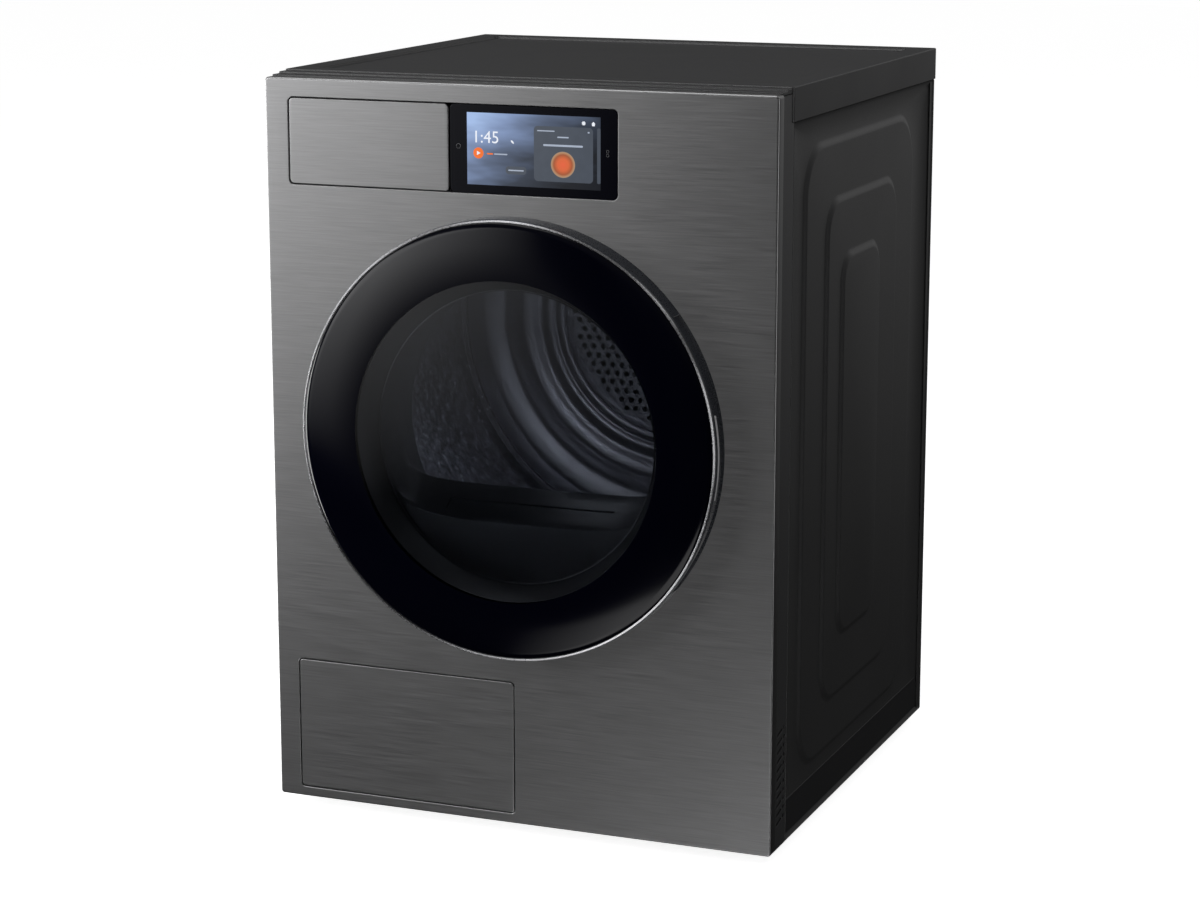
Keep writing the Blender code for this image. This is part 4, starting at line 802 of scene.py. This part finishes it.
def side_panel(node, side):
    """Sheet with three nested frames: each rises at its edge and falls back softly towards the next."""
    place = side_place(side)
    near, far = depths_of(node)
    bottom, top = low(node).z, high(node).z
    outlines = []
    for inset, radius, depth in ((0.0, 0.002, 0.0006), (0.0006, 0.0015, 0.0), (0.006, 0.0015, RIB_FIELD)):
        ring = rounded((near + inset, far - inset), (bottom + inset, top - inset), radius, 12)
        outlines.append((ring, depth))
    for front, back, foot, head, radius in RIBS:
        for step in range(RIB_STEPS + 1):
            t = step / RIB_STEPS
            inset = RIB_SLOPE * t
            heights = (FLOOR + foot + inset, FLOOR + head - inset)
            ring = rounded((front + inset, back - inset), heights, radius - inset * 0.6, 12)
            outlines.append((ring, RIB_FIELD + (RIB_CREST - RIB_FIELD) * t * t * (3 - 2 * t)))
    shape = bmesh.new()
    rings = [[shape.verts.new(place(u, v, depth)) for u, v in loop] for loop, depth in outlines]
    bridge(shape, rings)
    shape.faces.new(rings[-1])
    turn_towards(shape, (side, 0, 0))
    made = to_object(node + "_sheet", shape, PAINT, 60.0)
    thicken(made, 0.0009)
    stands_for(made, node)


VENTS = 11
VENT_FOOT = 0.031
VENT_PITCH = 0.0102
LID_GAP = 0.0006


def side_strip(node, side):
    """Upright strip with a column of slanted vents, each with a round hole behind it."""
    place = side_place(side)
    near, far = depths_of(node)
    bottom, top = low(node).z, high(node).z
    shoulder = low("top_cover").z - LID_GAP
    step = depths_of("top_cover")[0] - LID_GAP
    outer = [(near, bottom), (far, bottom), (far, shoulder), (step, shoulder), (step, top), (near, top)]
    middle = (near + far) / 2
    left, right = middle - 0.0115, middle + 0.0065
    holes = []
    for index in range(VENTS):
        z = FLOOR + VENT_FOOT + index * VENT_PITCH
        holes.append(eased([(left, z - 0.0042), (right, z), (right, z + 0.0034), (left, z - 0.0008)], 0.0012))
        holes.append(circle((middle + 0.0122, z + 0.0022), 0.0026, 16))
    edge = quarter(0.0006, 2) + [(0, 0.0018)]
    hole_edge = quarter(0.0003, 2) + [(0, 0.0015)]
    made = pressed(node + "_strip", outer, holes, edge, hole_edge, STRIP, 0.0006, place, (side, 0, 0))
    stands_for(made, node)
    # Black sheet behind the vents: painted shade that darkens the holes, where the inside of the dryer lies
    # in shade.
    front, back, foot, head = near + 0.004, far - 0.004, bottom + 0.015, bottom + 0.16
    shade = [(front, foot), (back, foot), (back, head), (front, head)]
    vent_shade = prism(node + "_backing", shade, 0.003, 0.004, BLACK, place=place)
    goes_with(vent_shade, node)


def lid():
    """Lid with rounded edges round a slightly sunk field."""
    node = "top_cover"
    near, far = depths_of(node)
    skirt = low(node).z

    def place(u, v, depth):
        return (u, FRONT + v, TOP - depth)

    outer = rounded((-HALF, HALF), (near, far), 0.003)
    rim = 0.028
    field = rounded((-HALF + rim, HALF - rim), (near + rim, far - rim), 0.006)
    sink = [(0, 0), (-0.0003, 0.0004), (-0.0008, 0.0022), (-0.0018, 0.0029), (-0.004, 0.0030)]
    shape_edge = quarter(0.0016) + [(0, TOP - skirt)]
    cover = pressed("lid_shell", outer, [field], shape_edge, sink, LID_PAINT, 0.0008, place, (0, 0, 1))
    stands_for(cover, node)
    sunk = offset(field, -0.0035)
    edge = [(0, 0.0030), (0, 0.0036)]
    inner = pressed("lid_field", sunk, [], edge, [], LID_PAINT, 0.0005, place, (0, 0, 1))
    goes_with(inner, node)


for panel_name, panel_side in (("side_panel_left", -1), ("side_panel_right", 1)):
    side_panel(panel_name, panel_side)
for strip_name, strip_side in (("front_frame_left", -1), ("front_frame_right", 1)):
    side_strip(strip_name, strip_side)
lid()
softened("top_front_trim", LID_PAINT, 0.0006)
softened("base_pan", None, 0.0008)
for foot in ("foot_front_left", "foot_front_right", "foot_rear_left", "foot_rear_right"):
    softened(foot, RUBBER, 0.0008)
softened("power_inlet", BLACK, 0.0008)


# ---- door ----
WINDOW_RADIUS = 0.1642
WINDOW_CLEAR = WINDOW_RADIUS + 0.014  # the glass is clear within this radius
GRIP_RADIUS = 0.2385
POCKET_INNER, POCKET_OUTER = 0.2405, 0.26
POCKET_ANGLE = 38.0  # degrees above and below the middle
GRIP_ANGLE = 11.0


def door():
    """Glass disc in a round rim, with a bright line between them and a grip in a pocket at the right."""
    edge = eased(
        [
            (GLASS_RADIUS, GLASS_BACK), (GLASS_RADIUS, GLASS_FRONT + 0.0035),
            (GLASS_RADIUS - 0.0075, GLASS_FRONT),
        ],
        0.004,
        closed=False,
        steps=6,
    )
    glass = [(0, GLASS_BACK), (WINDOW_CLEAR, GLASS_BACK)] + edge
    glass += [(WINDOW_CLEAR, GLASS_FRONT), (0, GLASS_FRONT)]
    pane = turned("door_pane", glass, DOOR, (GLASS, PANE), steps=256, closed=False, zone=WINDOW_CLEAR)
    stands_for(pane, "door_glass")

    inner = RIM_RADIUS - 0.006
    ledge = GLASS_BACK + 0.0005
    rim = eased(
        [
            (RIM_RADIUS - 0.0045, -0.0015), (RIM_RADIUS, -0.0095),
            (RIM_RADIUS, GLASS_FRONT + 0.0055), (RIM_RADIUS - 0.0012, GLASS_FRONT + 0.0035),
            (GLASS_RADIUS + 0.0016, GLASS_FRONT + 0.0035), (GLASS_RADIUS + 0.0016, ledge),
            (inner - 0.006, ledge), (inner - 0.006, ledge + 0.002), (inner, ledge + 0.002),
            (inner, -0.0035), (inner - 0.006, -0.0035), (inner - 0.006, -0.0015),
        ],
        0.0006,
        steps=3,
    )
    ring = turned("rim_ring", rim, DOOR, RIM, steps=256)
    pocket = sector("pocket", POCKET_ANGLE, (POCKET_INNER, POCKET_OUTER), (ledge + 0.0025, -0.0085), POCKET)
    cut(ring, pocket, notch("rim_notch"))
    stands_for(ring, "door_rim")
    trim = eased(
        [
            (GLASS_RADIUS + 0.0004, GLASS_FRONT + 0.0040),
            (GLASS_RADIUS + 0.0004, GLASS_FRONT + 0.0018),
            (GLASS_RADIUS + 0.0012, GLASS_FRONT + 0.0014),
            (GLASS_RADIUS + 0.0016, GLASS_FRONT + 0.0022),
            (GLASS_RADIUS + 0.0020, GLASS_FRONT + 0.0018),
            (GLASS_RADIUS + 0.0028, GLASS_FRONT + 0.0030),
            (GLASS_RADIUS + 0.0028, GLASS_FRONT + 0.0042),
        ],
        0.0003,
        steps=2,
    )
    line = goes_with(turned("rim_trim", trim, DOOR, TRIM, steps=256), "door_rim")
    grip_radii = (GRIP_RADIUS, RIM_RADIUS - 0.0016)
    grip = sector("grip_bar", GRIP_ANGLE, grip_radii, (ledge + 0.0026, ledge + 0.0125), LIGHT)
    round_edges(grip, 0.0008)
    stands_for(grip, "door_grip")
    # The liner takes the pocket finish: a near-black sheet in the grip pocket, partly black plastic and
    # partly painted shade.
    liner_radii = (inner - 0.0002, POCKET_INNER - 0.0001)
    liner = sector("pocket_liner", POCKET_ANGLE, liner_radii, (ledge + 0.0026, -0.0086), POCKET)
    goes_with(liner, "door_frame")
    for piece in (pane, ring, line, grip, liner):
        piece.visible_glossy = False


def sector(name, angle, radii, depths, material, steps=40):
    outline = arc(*DOOR, radii[1], -angle, angle, steps) + arc(*DOOR, radii[0], angle, -angle, steps)
    return prism(name, outline, *depths, material)


def notch(name):
    """Room for the hinge behind the glass."""
    reach = span("hinge_bracket", 2) / 2 + 0.012
    xs = (DOOR[0] - RIM_RADIUS - 0.01, high("door_hinge_leaf").x - 0.010)
    return block(name, xs, (GLASS_BACK, 0.010), (DOOR[1] - reach, DOOR[1] + reach))


door()


def door_inside():
    """Moulded frame, window bowl with its bead, and seal."""
    side = RIM_RADIUS - 0.0125
    near, back = depths_of("door_frame")
    skin = 0.0025
    frame_profile = eased(
        [
            (WINDOW_CLEAR, near), (side, near), (side, near + 0.002),
            (WINDOW_CLEAR + skin, near + 0.002), (WINDOW_RADIUS + skin, back - skin),
            (side, back - skin), (side, back), (WINDOW_RADIUS, back),
        ],
        0.0008,
        steps=3,
    )
    inside = turned("door_liner", frame_profile, DOOR, BLACK, steps=256)
    cut(inside, notch("liner_notch"))
    stands_for(inside, "door_frame")
    inside.visible_glossy = False
    edge_ring = eased(
        [
            (WINDOW_RADIUS + 0.0001, back + 0.0002), (WINDOW_RADIUS - 0.0014, back + 0.0002),
            (WINDOW_RADIUS - 0.0014, back - 0.0014), (WINDOW_RADIUS + 0.0001, back - 0.0014),
        ],
        0.0005,
        steps=3,
    )
    goes_with(turned("window_bead", edge_ring, DOOR, RIM, steps=200), "door_frame")
    brim, bowl_back = depths_of("door_window")
    glass = 0.004
    bowl = eased(
        [
            (0, bowl_back - glass), (WINDOW_RADIUS - 0.028, bowl_back - glass),
            (WINDOW_RADIUS - 0.002, brim + 0.0005), (WINDOW_RADIUS + 0.020, brim + 0.0005),
            (WINDOW_RADIUS + 0.020, brim + glass), (WINDOW_RADIUS + 0.002, brim + glass),
            (WINDOW_RADIUS - 0.024, bowl_back), (0, bowl_back),
        ],
        0.006,
        closed=False,
        steps=5,
    )
    stands_for(turned("window_bowl", bowl, DOOR, BOWL, steps=200, closed=False), "door_window")
    root = depths_of("door_gasket")[0]
    outer = span("door_gasket", 2) / 2
    inner = outer - 0.007
    tip = (outer - 0.0035, 0.0105)
    seal = eased([(inner, root), (outer, root), (outer, 0.0085), tip, (inner, 0.0085)], 0.002)
    stands_for(turned("door_seal", seal, DOOR, RUBBER, steps=200), "door_gasket")


door_inside()
for small in ("door_hinge_leaf", "hinge_bracket", "door_hook", "door_catch"):
    softened(small, None, 0.0005)


# ---- round opening ----
TUNNEL_RADIUS = 0.172
TUNNEL_BACK = 0.095
LIP_DROP = 0.102
LIP_RISE = 0.030
LIP_NEAR, LIP_FAR = 0.0125, 0.064
LIP_RUN = 0.050  # the depth over which it rises
WELL_DROP = 0.118


def lip_drop(depth):
    """How far the lip's flat lies below the door's centre at a depth."""
    return LIP_DROP - LIP_RISE * (depth - LIP_NEAR) / LIP_RUN


def opening():
    """Round wall behind the door, and the plate that carries it."""
    flange = 0.195
    profile = eased(
        [
            (TUNNEL_RADIUS, 0.011), (flange, 0.011), (flange, 0.013),
            (TUNNEL_RADIUS + 0.0025, 0.013), (TUNNEL_RADIUS + 0.0025, TUNNEL_BACK),
            (TUNNEL_RADIUS, TUNNEL_BACK),
        ],
        0.0009,
        steps=3,
    )
    ring = turned("opening_ring", profile, DOOR, TUNNEL, steps=200)
    stands_for(ring, "front_bulkhead")
    far = depths_of("filter_housing")[1]
    plate_edge = [(0, far + 0.0012), (0, far + 0.0030)]
    bottom, top = low("front_bulkhead").z, high("front_bulkhead").z
    wide = high("front_bulkhead").x
    tank_side = high("water_tank").x + 0.004
    tank_floor = low("water_tank").z - 0.004
    outer = [(-wide, bottom), (wide, bottom), (wide, top)]
    outer += [(tank_side, top), (tank_side, tank_floor), (-wide, tank_floor)]
    hole = circle(DOOR, TUNNEL_RADIUS + 0.0035, 128)
    plate = pressed("bulkhead_plate", outer, [hole], plate_edge, plate_edge, ZINC, 0.0008)
    goes_with(plate, "front_bulkhead")


def filter_room(name, gap, foot):
    """A block a little larger than the lint filter, from a height up to the door's centre."""
    corner, far_corner = low("lint_filter"), high("lint_filter")
    near, far = corner.y - FRONT - gap, far_corner.y - FRONT + gap
    return block(name, (corner.x - gap, far_corner.x + gap), (near, far), (foot, DOOR[1]))


def lip():
    """Cover under the opening: flat in the middle, its ends rise and merge with the round wall."""
    reach = TUNNEL_RADIUS - 0.0002
    turns = [math.radians(188 + 164 * i / 72) for i in range(73)]

    def section(depth, drop, shrink=0.0):
        inner = []
        for t in turns:
            straight = drop / -math.sin(t) if math.sin(t) < -0.01 else 10.0
            radius = (straight**-8 + reach**-8) ** (-1 / 8) - 0.0004
            inner.append((min(radius + shrink, reach - 0.0003), t))
        points = [(r * math.cos(t), r * math.sin(t)) for r, t in inner]
        points += [(reach * math.cos(t), reach * math.sin(t)) for t in turns[::-1]]
        return [front_place(DOOR[0] + x, DOOR[1] + z, depth) for x, z in points]

    depths = (LIP_NEAR + 0.003, 0.02, 0.03, 0.04, 0.05, LIP_FAR - 0.002)
    loops = [section(LIP_NEAR, LIP_DROP, 0.0022), section(LIP_NEAR + 0.0004, LIP_DROP, 0.0010)]
    loops.append(section(LIP_NEAR + 0.0012, LIP_DROP, 0.0003))
    loops += [section(depth, lip_drop(depth)) for depth in depths]
    loops.append(section(LIP_FAR, lip_drop(LIP_FAR), 0.0015))
    made = lofted("filter_cover", loops, LIP, smooth=50.0, ends="strip")
    cut(made, filter_room("filter_slot", 0.0006, DOOR[1] - 0.2))
    stands_for(made, "filter_housing")
    near, far = depths_of("filter_housing")
    foot = low("filter_housing").z
    xs = (low("filter_housing").x, high("filter_housing").x)
    well = block("filter_well", xs, (near, far), (foot, DOOR[1] - WELL_DROP))
    cut(well, filter_room("well_room", 0.001, foot + 0.003))
    goes_with(well, "filter_housing")


def lint_filter():
    """Drop-in filter: frame with two mesh windows and a sloping top that lies flush in the lip."""
    corner, far_corner = low("lint_filter"), high("lint_filter")
    near, far = depths_of("lint_filter")
    middle = (near + far) / 2
    top = DOOR[1] - lip_drop(near)
    outer = rounded((corner.x, far_corner.x), (corner.z, top - 0.0005), 0.003, 4)
    sides = ((corner.x + 0.010, DOOR[0] - 0.006), (DOOR[0] + 0.006, far_corner.x - 0.010))
    windows = [rounded(xs, (corner.z + 0.012, top - 0.026), 0.004, 4) for xs in sides]
    edge = [(0, near), (0, far)]
    made = pressed("filter_frame", outer, windows, edge, edge, GREY, 0.0012)
    stands_for(made, "lint_filter")
    edge = [(0, far), (0, far - 0.001)]
    back = pressed("filter_frame_back", outer, windows, edge, edge, GREY, 0.0008, facing=(0, 1, 0))
    goes_with(back, "lint_filter")
    screens = [offset(window, 0.001) for window in windows]
    goes_with(tiles("filter_screens", screens, middle - 0.0004, middle + 0.0004, MESH), "lint_filter")
    far_top = top + LIP_RISE * (far - near) / LIP_RUN
    wedge = [(near, top - 0.008), (far, top - 0.008), (far, far_top - 0.0004), (near, top - 0.0004)]

    def across(u, v, depth):
        return (depth, FRONT + u, v)

    handle = prism("filter_handle", wedge, corner.x, far_corner.x, LIP, bevel=0.0006, place=across)
    goes_with(handle, "lint_filter")


opening()
lip()
lint_filter()


# ---- drum ----
DIMPLE_PITCH = 0.0245
DIMPLE_RADIUS = 0.0075
DIMPLE_TALL = 0.0016
DIMPLES_END = 0.458
PIT_RADIUS = 0.0038
PIT_DEEP = 0.0010
GROOVES_START = 0.462
GROOVES = (0.4655, 0.4705, 0.4755, 0.4805)
GROOVE_WIDE = 0.0013
GROOVE_DEEP = 0.0012
DRUM_SHEET = 0.0016
COLLAR_RADIUS = 0.262


def drum_wall():
    """Embossed wall with a band of fine grooves at its rear end, made as one fine grid."""
    sides = 864
    end = DRUM_BACK - 0.001
    coarse = np.arange(DRUM_FRONT + 0.004, GROOVES_START, 0.0022)
    rows = np.concatenate([coarse, np.arange(GROOVES_START, end, 0.0006), [end]])
    turns = np.arange(sides) * math.tau / sides
    reach = DRUM_RADIUS - DRUM_SHEET
    around = round(math.tau * reach / DIMPLE_PITCH)
    pitch = math.tau * reach / around
    depth, turn = np.meshgrid(rows, turns, indexing="ij")
    arc_place = turn * reach
    row_pitch = pitch * math.sqrt(3) / 2
    lift = np.zeros_like(depth)
    start = DRUM_FRONT + 0.020
    for index in range(int((DIMPLES_END - start) / row_pitch) + 1):
        centre_depth = start + index * row_pitch
        shift = (index % 2) * pitch / 2
        along = (arc_place - shift + pitch / 2) % pitch - pitch / 2
        distance = np.hypot(depth - centre_depth, along)
        lift += DIMPLE_TALL * np.clip(1 - (distance / DIMPLE_RADIUS) ** 2, 0, 1) ** 0.8
        between = (arc_place - shift) % pitch - pitch / 2
        small = np.hypot(depth - centre_depth, between)
        lift -= PIT_DEEP * np.clip(1 - (small / PIT_RADIUS) ** 2, 0, 1)
    for groove in GROOVES:
        lift -= GROOVE_DEEP * np.clip(1 - (np.abs(depth - groove) / GROOVE_WIDE) ** 2, 0, 1)
    inner = reach - lift
    sheets = []
    for radius in (inner, np.full_like(inner, DRUM_RADIUS)):
        x, z = DRUM[0] + radius * np.cos(turn), DRUM[1] + radius * np.sin(turn)
        sheets.append(np.stack([x, FRONT + depth, z], -1))
    outer_rows = (0, len(rows) - 1)
    points = np.concatenate([sheets[0].reshape(-1, 3)] + [sheets[1][row] for row in outer_rows])
    grid = np.arange(len(rows) * sides).reshape(len(rows), sides)
    extra = len(rows) * sides + np.arange(2 * sides).reshape(2, sides)
    strips = [(grid[i], grid[i + 1]) for i in range(len(rows) - 1)]
    strips += [(grid[-1], extra[1]), (extra[1], extra[0]), (extra[0], grid[0])]
    faces = []
    for near, far in strips:
        faces.append(np.stack([near, np.roll(near, -1), np.roll(far, -1), far], -1))
    mesh = bpy.data.meshes.new("drum_wall")
    mesh.from_pydata(points.tolist(), [], np.concatenate(faces).tolist())
    mesh.materials.append(DRUM_STEEL)
    mesh.shade_smooth()
    mesh.set_sharp_from_angle(angle=math.radians(60))
    wall = bpy.data.objects.new("drum_wall", mesh)
    bpy.context.scene.collection.objects.link(wall)
    stands_for(wall, "drum_shell")
    collar = eased(
        [
            (COLLAR_RADIUS, DRUM_FRONT), (DRUM_RADIUS, DRUM_FRONT),
            (DRUM_RADIUS, DRUM_FRONT + 0.0035), (DRUM_RADIUS - DRUM_SHEET, DRUM_FRONT + 0.0035),
            (DRUM_RADIUS - 0.004, DRUM_FRONT + DRUM_SHEET),
            (COLLAR_RADIUS, DRUM_FRONT + DRUM_SHEET),
        ],
        0.0006,
        steps=3,
    )
    goes_with(turned("drum_collar", collar, DRUM, DRUM_STEEL, steps=200), "drum_shell")


PLATE_RADIUS = 0.147
HOLE_PITCH = 0.0126
HOLE_RADIUS = 0.0036
PLATE_DEPTH = 0.0110
PLATE_EDGE = 0.1518
# Radius, and depth behind the drum's rear edge.
BEADS = (
    (0.1515, 0.0110), (0.1530, 0.0070), (0.1580, 0.0050), (0.1640, 0.0058), (0.1670, 0.0016),
    (0.1720, -0.0004), (0.1820, 0.0), (0.1900, -0.0085), (0.2020, -0.0140), (0.2140, -0.0085),
    (0.2260, -0.0065), (0.2400, -0.0150), (0.2520, -0.0205), (0.2640, -0.0180), (0.2755, -0.0170),
)


def hexagon(x, z, radii, y):
    """Twelve points round a place on the drum's rear wall, taking the radii in turn."""
    made = []
    for index in range(12):
        turn = math.radians(30 * index)
        radius = radii[index % len(radii)]
        made.append((DRUM[0] + x + radius * math.cos(turn), y, DRUM[1] + z + radius * math.sin(turn)))
    return made


def drum_back():
    """Beaded rear wall round a flat plate of six-sided cells, each with a flanged hole."""
    edge = DRUM_RADIUS - 0.0025
    front = eased([(radius, DRUM_BACK + depth) for radius, depth in BEADS], 0.005, closed=False, steps=4)
    back = [(radius, depth + 0.0014) for radius, depth in front[::-1]]
    made = turned("drum_beads", front + [(edge, DRUM_BACK)] + back, DRUM, BACK_STEEL, steps=256)
    stands_for(made, "drum_back")
    shape = bmesh.new()
    face_y = FRONT + DRUM_BACK + PLATE_DEPTH
    reach = int(PLATE_RADIUS / HOLE_PITCH) + 2
    apothem = HOLE_PITCH / 2
    cell = (apothem, apothem / math.cos(math.radians(30)))
    flange = ((0.0014, 0.0), (0.0009, -0.0007), (0.0, -0.0006), (-0.0004, 0.0012))
    for row in range(-reach, reach + 1):
        for column in range(-reach, reach + 1):
            x = HOLE_PITCH * (column + row / 2)
            z = HOLE_PITCH * row * math.sqrt(3) / 2
            if math.hypot(x, z) > PLATE_RADIUS - 0.007:
                continue
            loops = [hexagon(x, z, cell, face_y)]
            loops += [hexagon(x, z, (HOLE_RADIUS + grow,), face_y + depth) for grow, depth in flange]
            bridge(shape, [[shape.verts.new(spot) for spot in loop] for loop in loops])
    bmesh.ops.remove_doubles(shape, verts=shape.verts, dist=0.00002)
    rims = []
    for side in shape.edges:
        if side.is_boundary and all(abs(vert.co.y - face_y) < 1e-5 for vert in side.verts):
            rims.append(side)
    border = [shape.verts.new((x, face_y, z)) for x, z in circle(DRUM, PLATE_EDGE, 128)]
    rims += [shape.edges.new((a, b)) for a, b in zip(border, border[1:] + border[:1])]
    bmesh.ops.triangle_fill(shape, use_beauty=True, edges=rims, normal=(0, -1, 0))
    turn_towards(shape, (0, -1, 0))
    plate = to_object("drum_grille", shape, PLATE_STEEL, 50.0)
    thicken(plate, 0.0006)
    goes_with(plate, "drum_back")


drum_wall()
drum_back()
for lifter in ("drum_lifter_1", "drum_lifter_2", "drum_lifter_3"):
    softened(lifter, LIGHT, 0.009, 6)


# ---- camera and light ----
CAMERA_PLACE = (1.2897, -3.2552, 1.1437)
CAMERA_TURN = 21.8
CAMERA_PITCH = 12.14
CAMERA_LENS = 90.6

view = bpy.data.cameras.new("camera")
view.sensor_width = 36
view.lens = CAMERA_LENS
camera = bpy.data.objects.new("camera", view)
camera.location = CAMERA_PLACE
camera.rotation_euler = (math.radians(90 - CAMERA_PITCH), 0, math.radians(CAMERA_TURN))
bpy.context.scene.collection.objects.link(camera)
bpy.context.scene.camera = camera


def aimed(place, aim):
    """The turn of a lamp at a place that shines at a point."""
    return (Vector(aim) - Vector(place)).to_track_quat("-Z", "Y").to_euler()


def area_light(name, place, aim, size, power):
    data = bpy.data.lights.new(name, "AREA")
    data.shape = "RECTANGLE"
    data.size, data.size_y = size
    data.energy = power
    made = bpy.data.objects.new(name, data)
    made.location = place
    made.rotation_euler = aimed(place, aim)
    made.visible_camera = False
    bpy.context.scene.collection.objects.link(made)


def glow_card(name, place, aim, size, level, across, upwards):
    """Large soft light. It fades between two shares of its width and two shares of its height."""
    shape = bmesh.new()
    bmesh.ops.create_grid(shape, x_segments=1, y_segments=1, size=0.5)
    made = Shading(name)
    parts = made.add("ShaderNodeSeparateXYZ", {0: made.add("ShaderNodeTexCoord").outputs["Object"]}).outputs
    fade_x = made.spread(parts["X"], 0.0, 1.0, across)
    fade_y = made.spread(parts["Y"], 0.0, 1.0, upwards)
    strength = made.maths("MULTIPLY", made.maths("MULTIPLY", fade_x, fade_y), level)
    made.link(strength, "Emission Strength")
    made.fix(Emission_Color=(1, 1, 1, 1), Base_Color=(0, 0, 0, 1), Specular_IOR_Level=0.0)
    card = to_object(name, shape, made.material)
    card.location = place
    card.scale = (*size, 1)
    card.rotation_euler = aimed(place, aim)
    card.visible_camera = False
    card.visible_shadow = False


glow_card("card_left", (-2.57, -3.34, 0.81), (0, -0.28, 0.46), (5.2, 4.0), 7.2, (0.30, -0.03), (-0.34, 0.10))
glow_card("card_top", (-1.1, -0.8, 3.6), (0, -0.2, 0.8), (3.0, 1.4), 4.0, (-0.6, -0.5), (-0.6, -0.5))
glow_card("card_edge", (-3.3, 0.9, -0.25), (-0.3, 0.0, 0.3), (2.6, 1.9), 8.0, (-0.6, -0.5), (-0.6, -0.5))
glow_card("card_back", (1.7, 4.2, 1.0), (0.3, 0.1, 0.5), (3.4, 4.0), 0.55, (-0.5, -0.2), (-0.5, 0.3))
glow_card("card_low", (0.25, -2.7, -2.0), (0, -0.28, 0.3), (3.6, 1.6), 4.2, (-0.45, -0.15), (-0.6, -0.5))
area_light("soft_right", (3.8, -0.9, 0.5), (0.3, 0, 0.2), (1.8, 2.6), 32)
area_light("soft_high", (2.2, 0.3, 3.2), (0.3, 0, 0.5), (1.4, 1.0), 16)
area_light("drum_high", (0.03, FRONT + 0.13, 0.655), (-0.05, FRONT + 0.44, 0.40), (0.20, 0.05), 0.55)
area_light("drum_low", (0.10, FRONT + 0.20, 0.30), (-0.12, FRONT + 0.30, 0.62), (0.12, 0.10), 0.12)


def world():
    """White behind the object. What it reflects is dark low down and grey above."""
    made = bpy.data.worlds.new("studio")
    bpy.context.scene.world = made
    made.use_nodes = True
    nodes, links = made.node_tree.nodes, made.node_tree.links
    shown = nodes["Background"]
    shown.inputs["Color"].default_value = (1, 1, 1, 1)
    reflected = nodes.new("ShaderNodeBackground")
    upwards = nodes.new("ShaderNodeSeparateXYZ")
    links.new(nodes.new("ShaderNodeTexCoord").outputs["Generated"], upwards.inputs[0])
    level = nodes.new("ShaderNodeMapRange")
    for socket, value in (("From Min", 0.0), ("From Max", 0.9), ("To Min", 0.02), ("To Max", 0.35)):
        level.inputs[socket].default_value = value
    links.new(upwards.outputs["Z"], level.inputs["Value"])
    links.new(level.outputs["Result"], reflected.inputs["Strength"])
    path = nodes.new("ShaderNodeLightPath")
    mix = nodes.new("ShaderNodeMixShader")
    links.new(path.outputs["Is Camera Ray"], mix.inputs[0])
    links.new(reflected.outputs[0], mix.inputs[1])
    links.new(shown.outputs[0], mix.inputs[2])
    links.new(mix.outputs[0], nodes["World Output"].inputs["Surface"])


world()

floor_shape = bmesh.new()
bmesh.ops.create_grid(floor_shape, x_segments=1, y_segments=1, size=14)
white_glow = {"Emission_Color": (1, 1, 1, 1), "Emission_Strength": 0.88}
pale = finish("pale_floor", (0.5, 0.5, 0.5), 0.9, shade=0.01, bump=0.0, **white_glow)
ground = to_object("ground", floor_shape, pale)
ground.visible_glossy = False
ground.visible_diffuse = False

bpy.context.scene.view_settings.view_transform = "Standard"
bpy.context.scene.view_settings.look = "None"

bpy.context.view_layer.update()
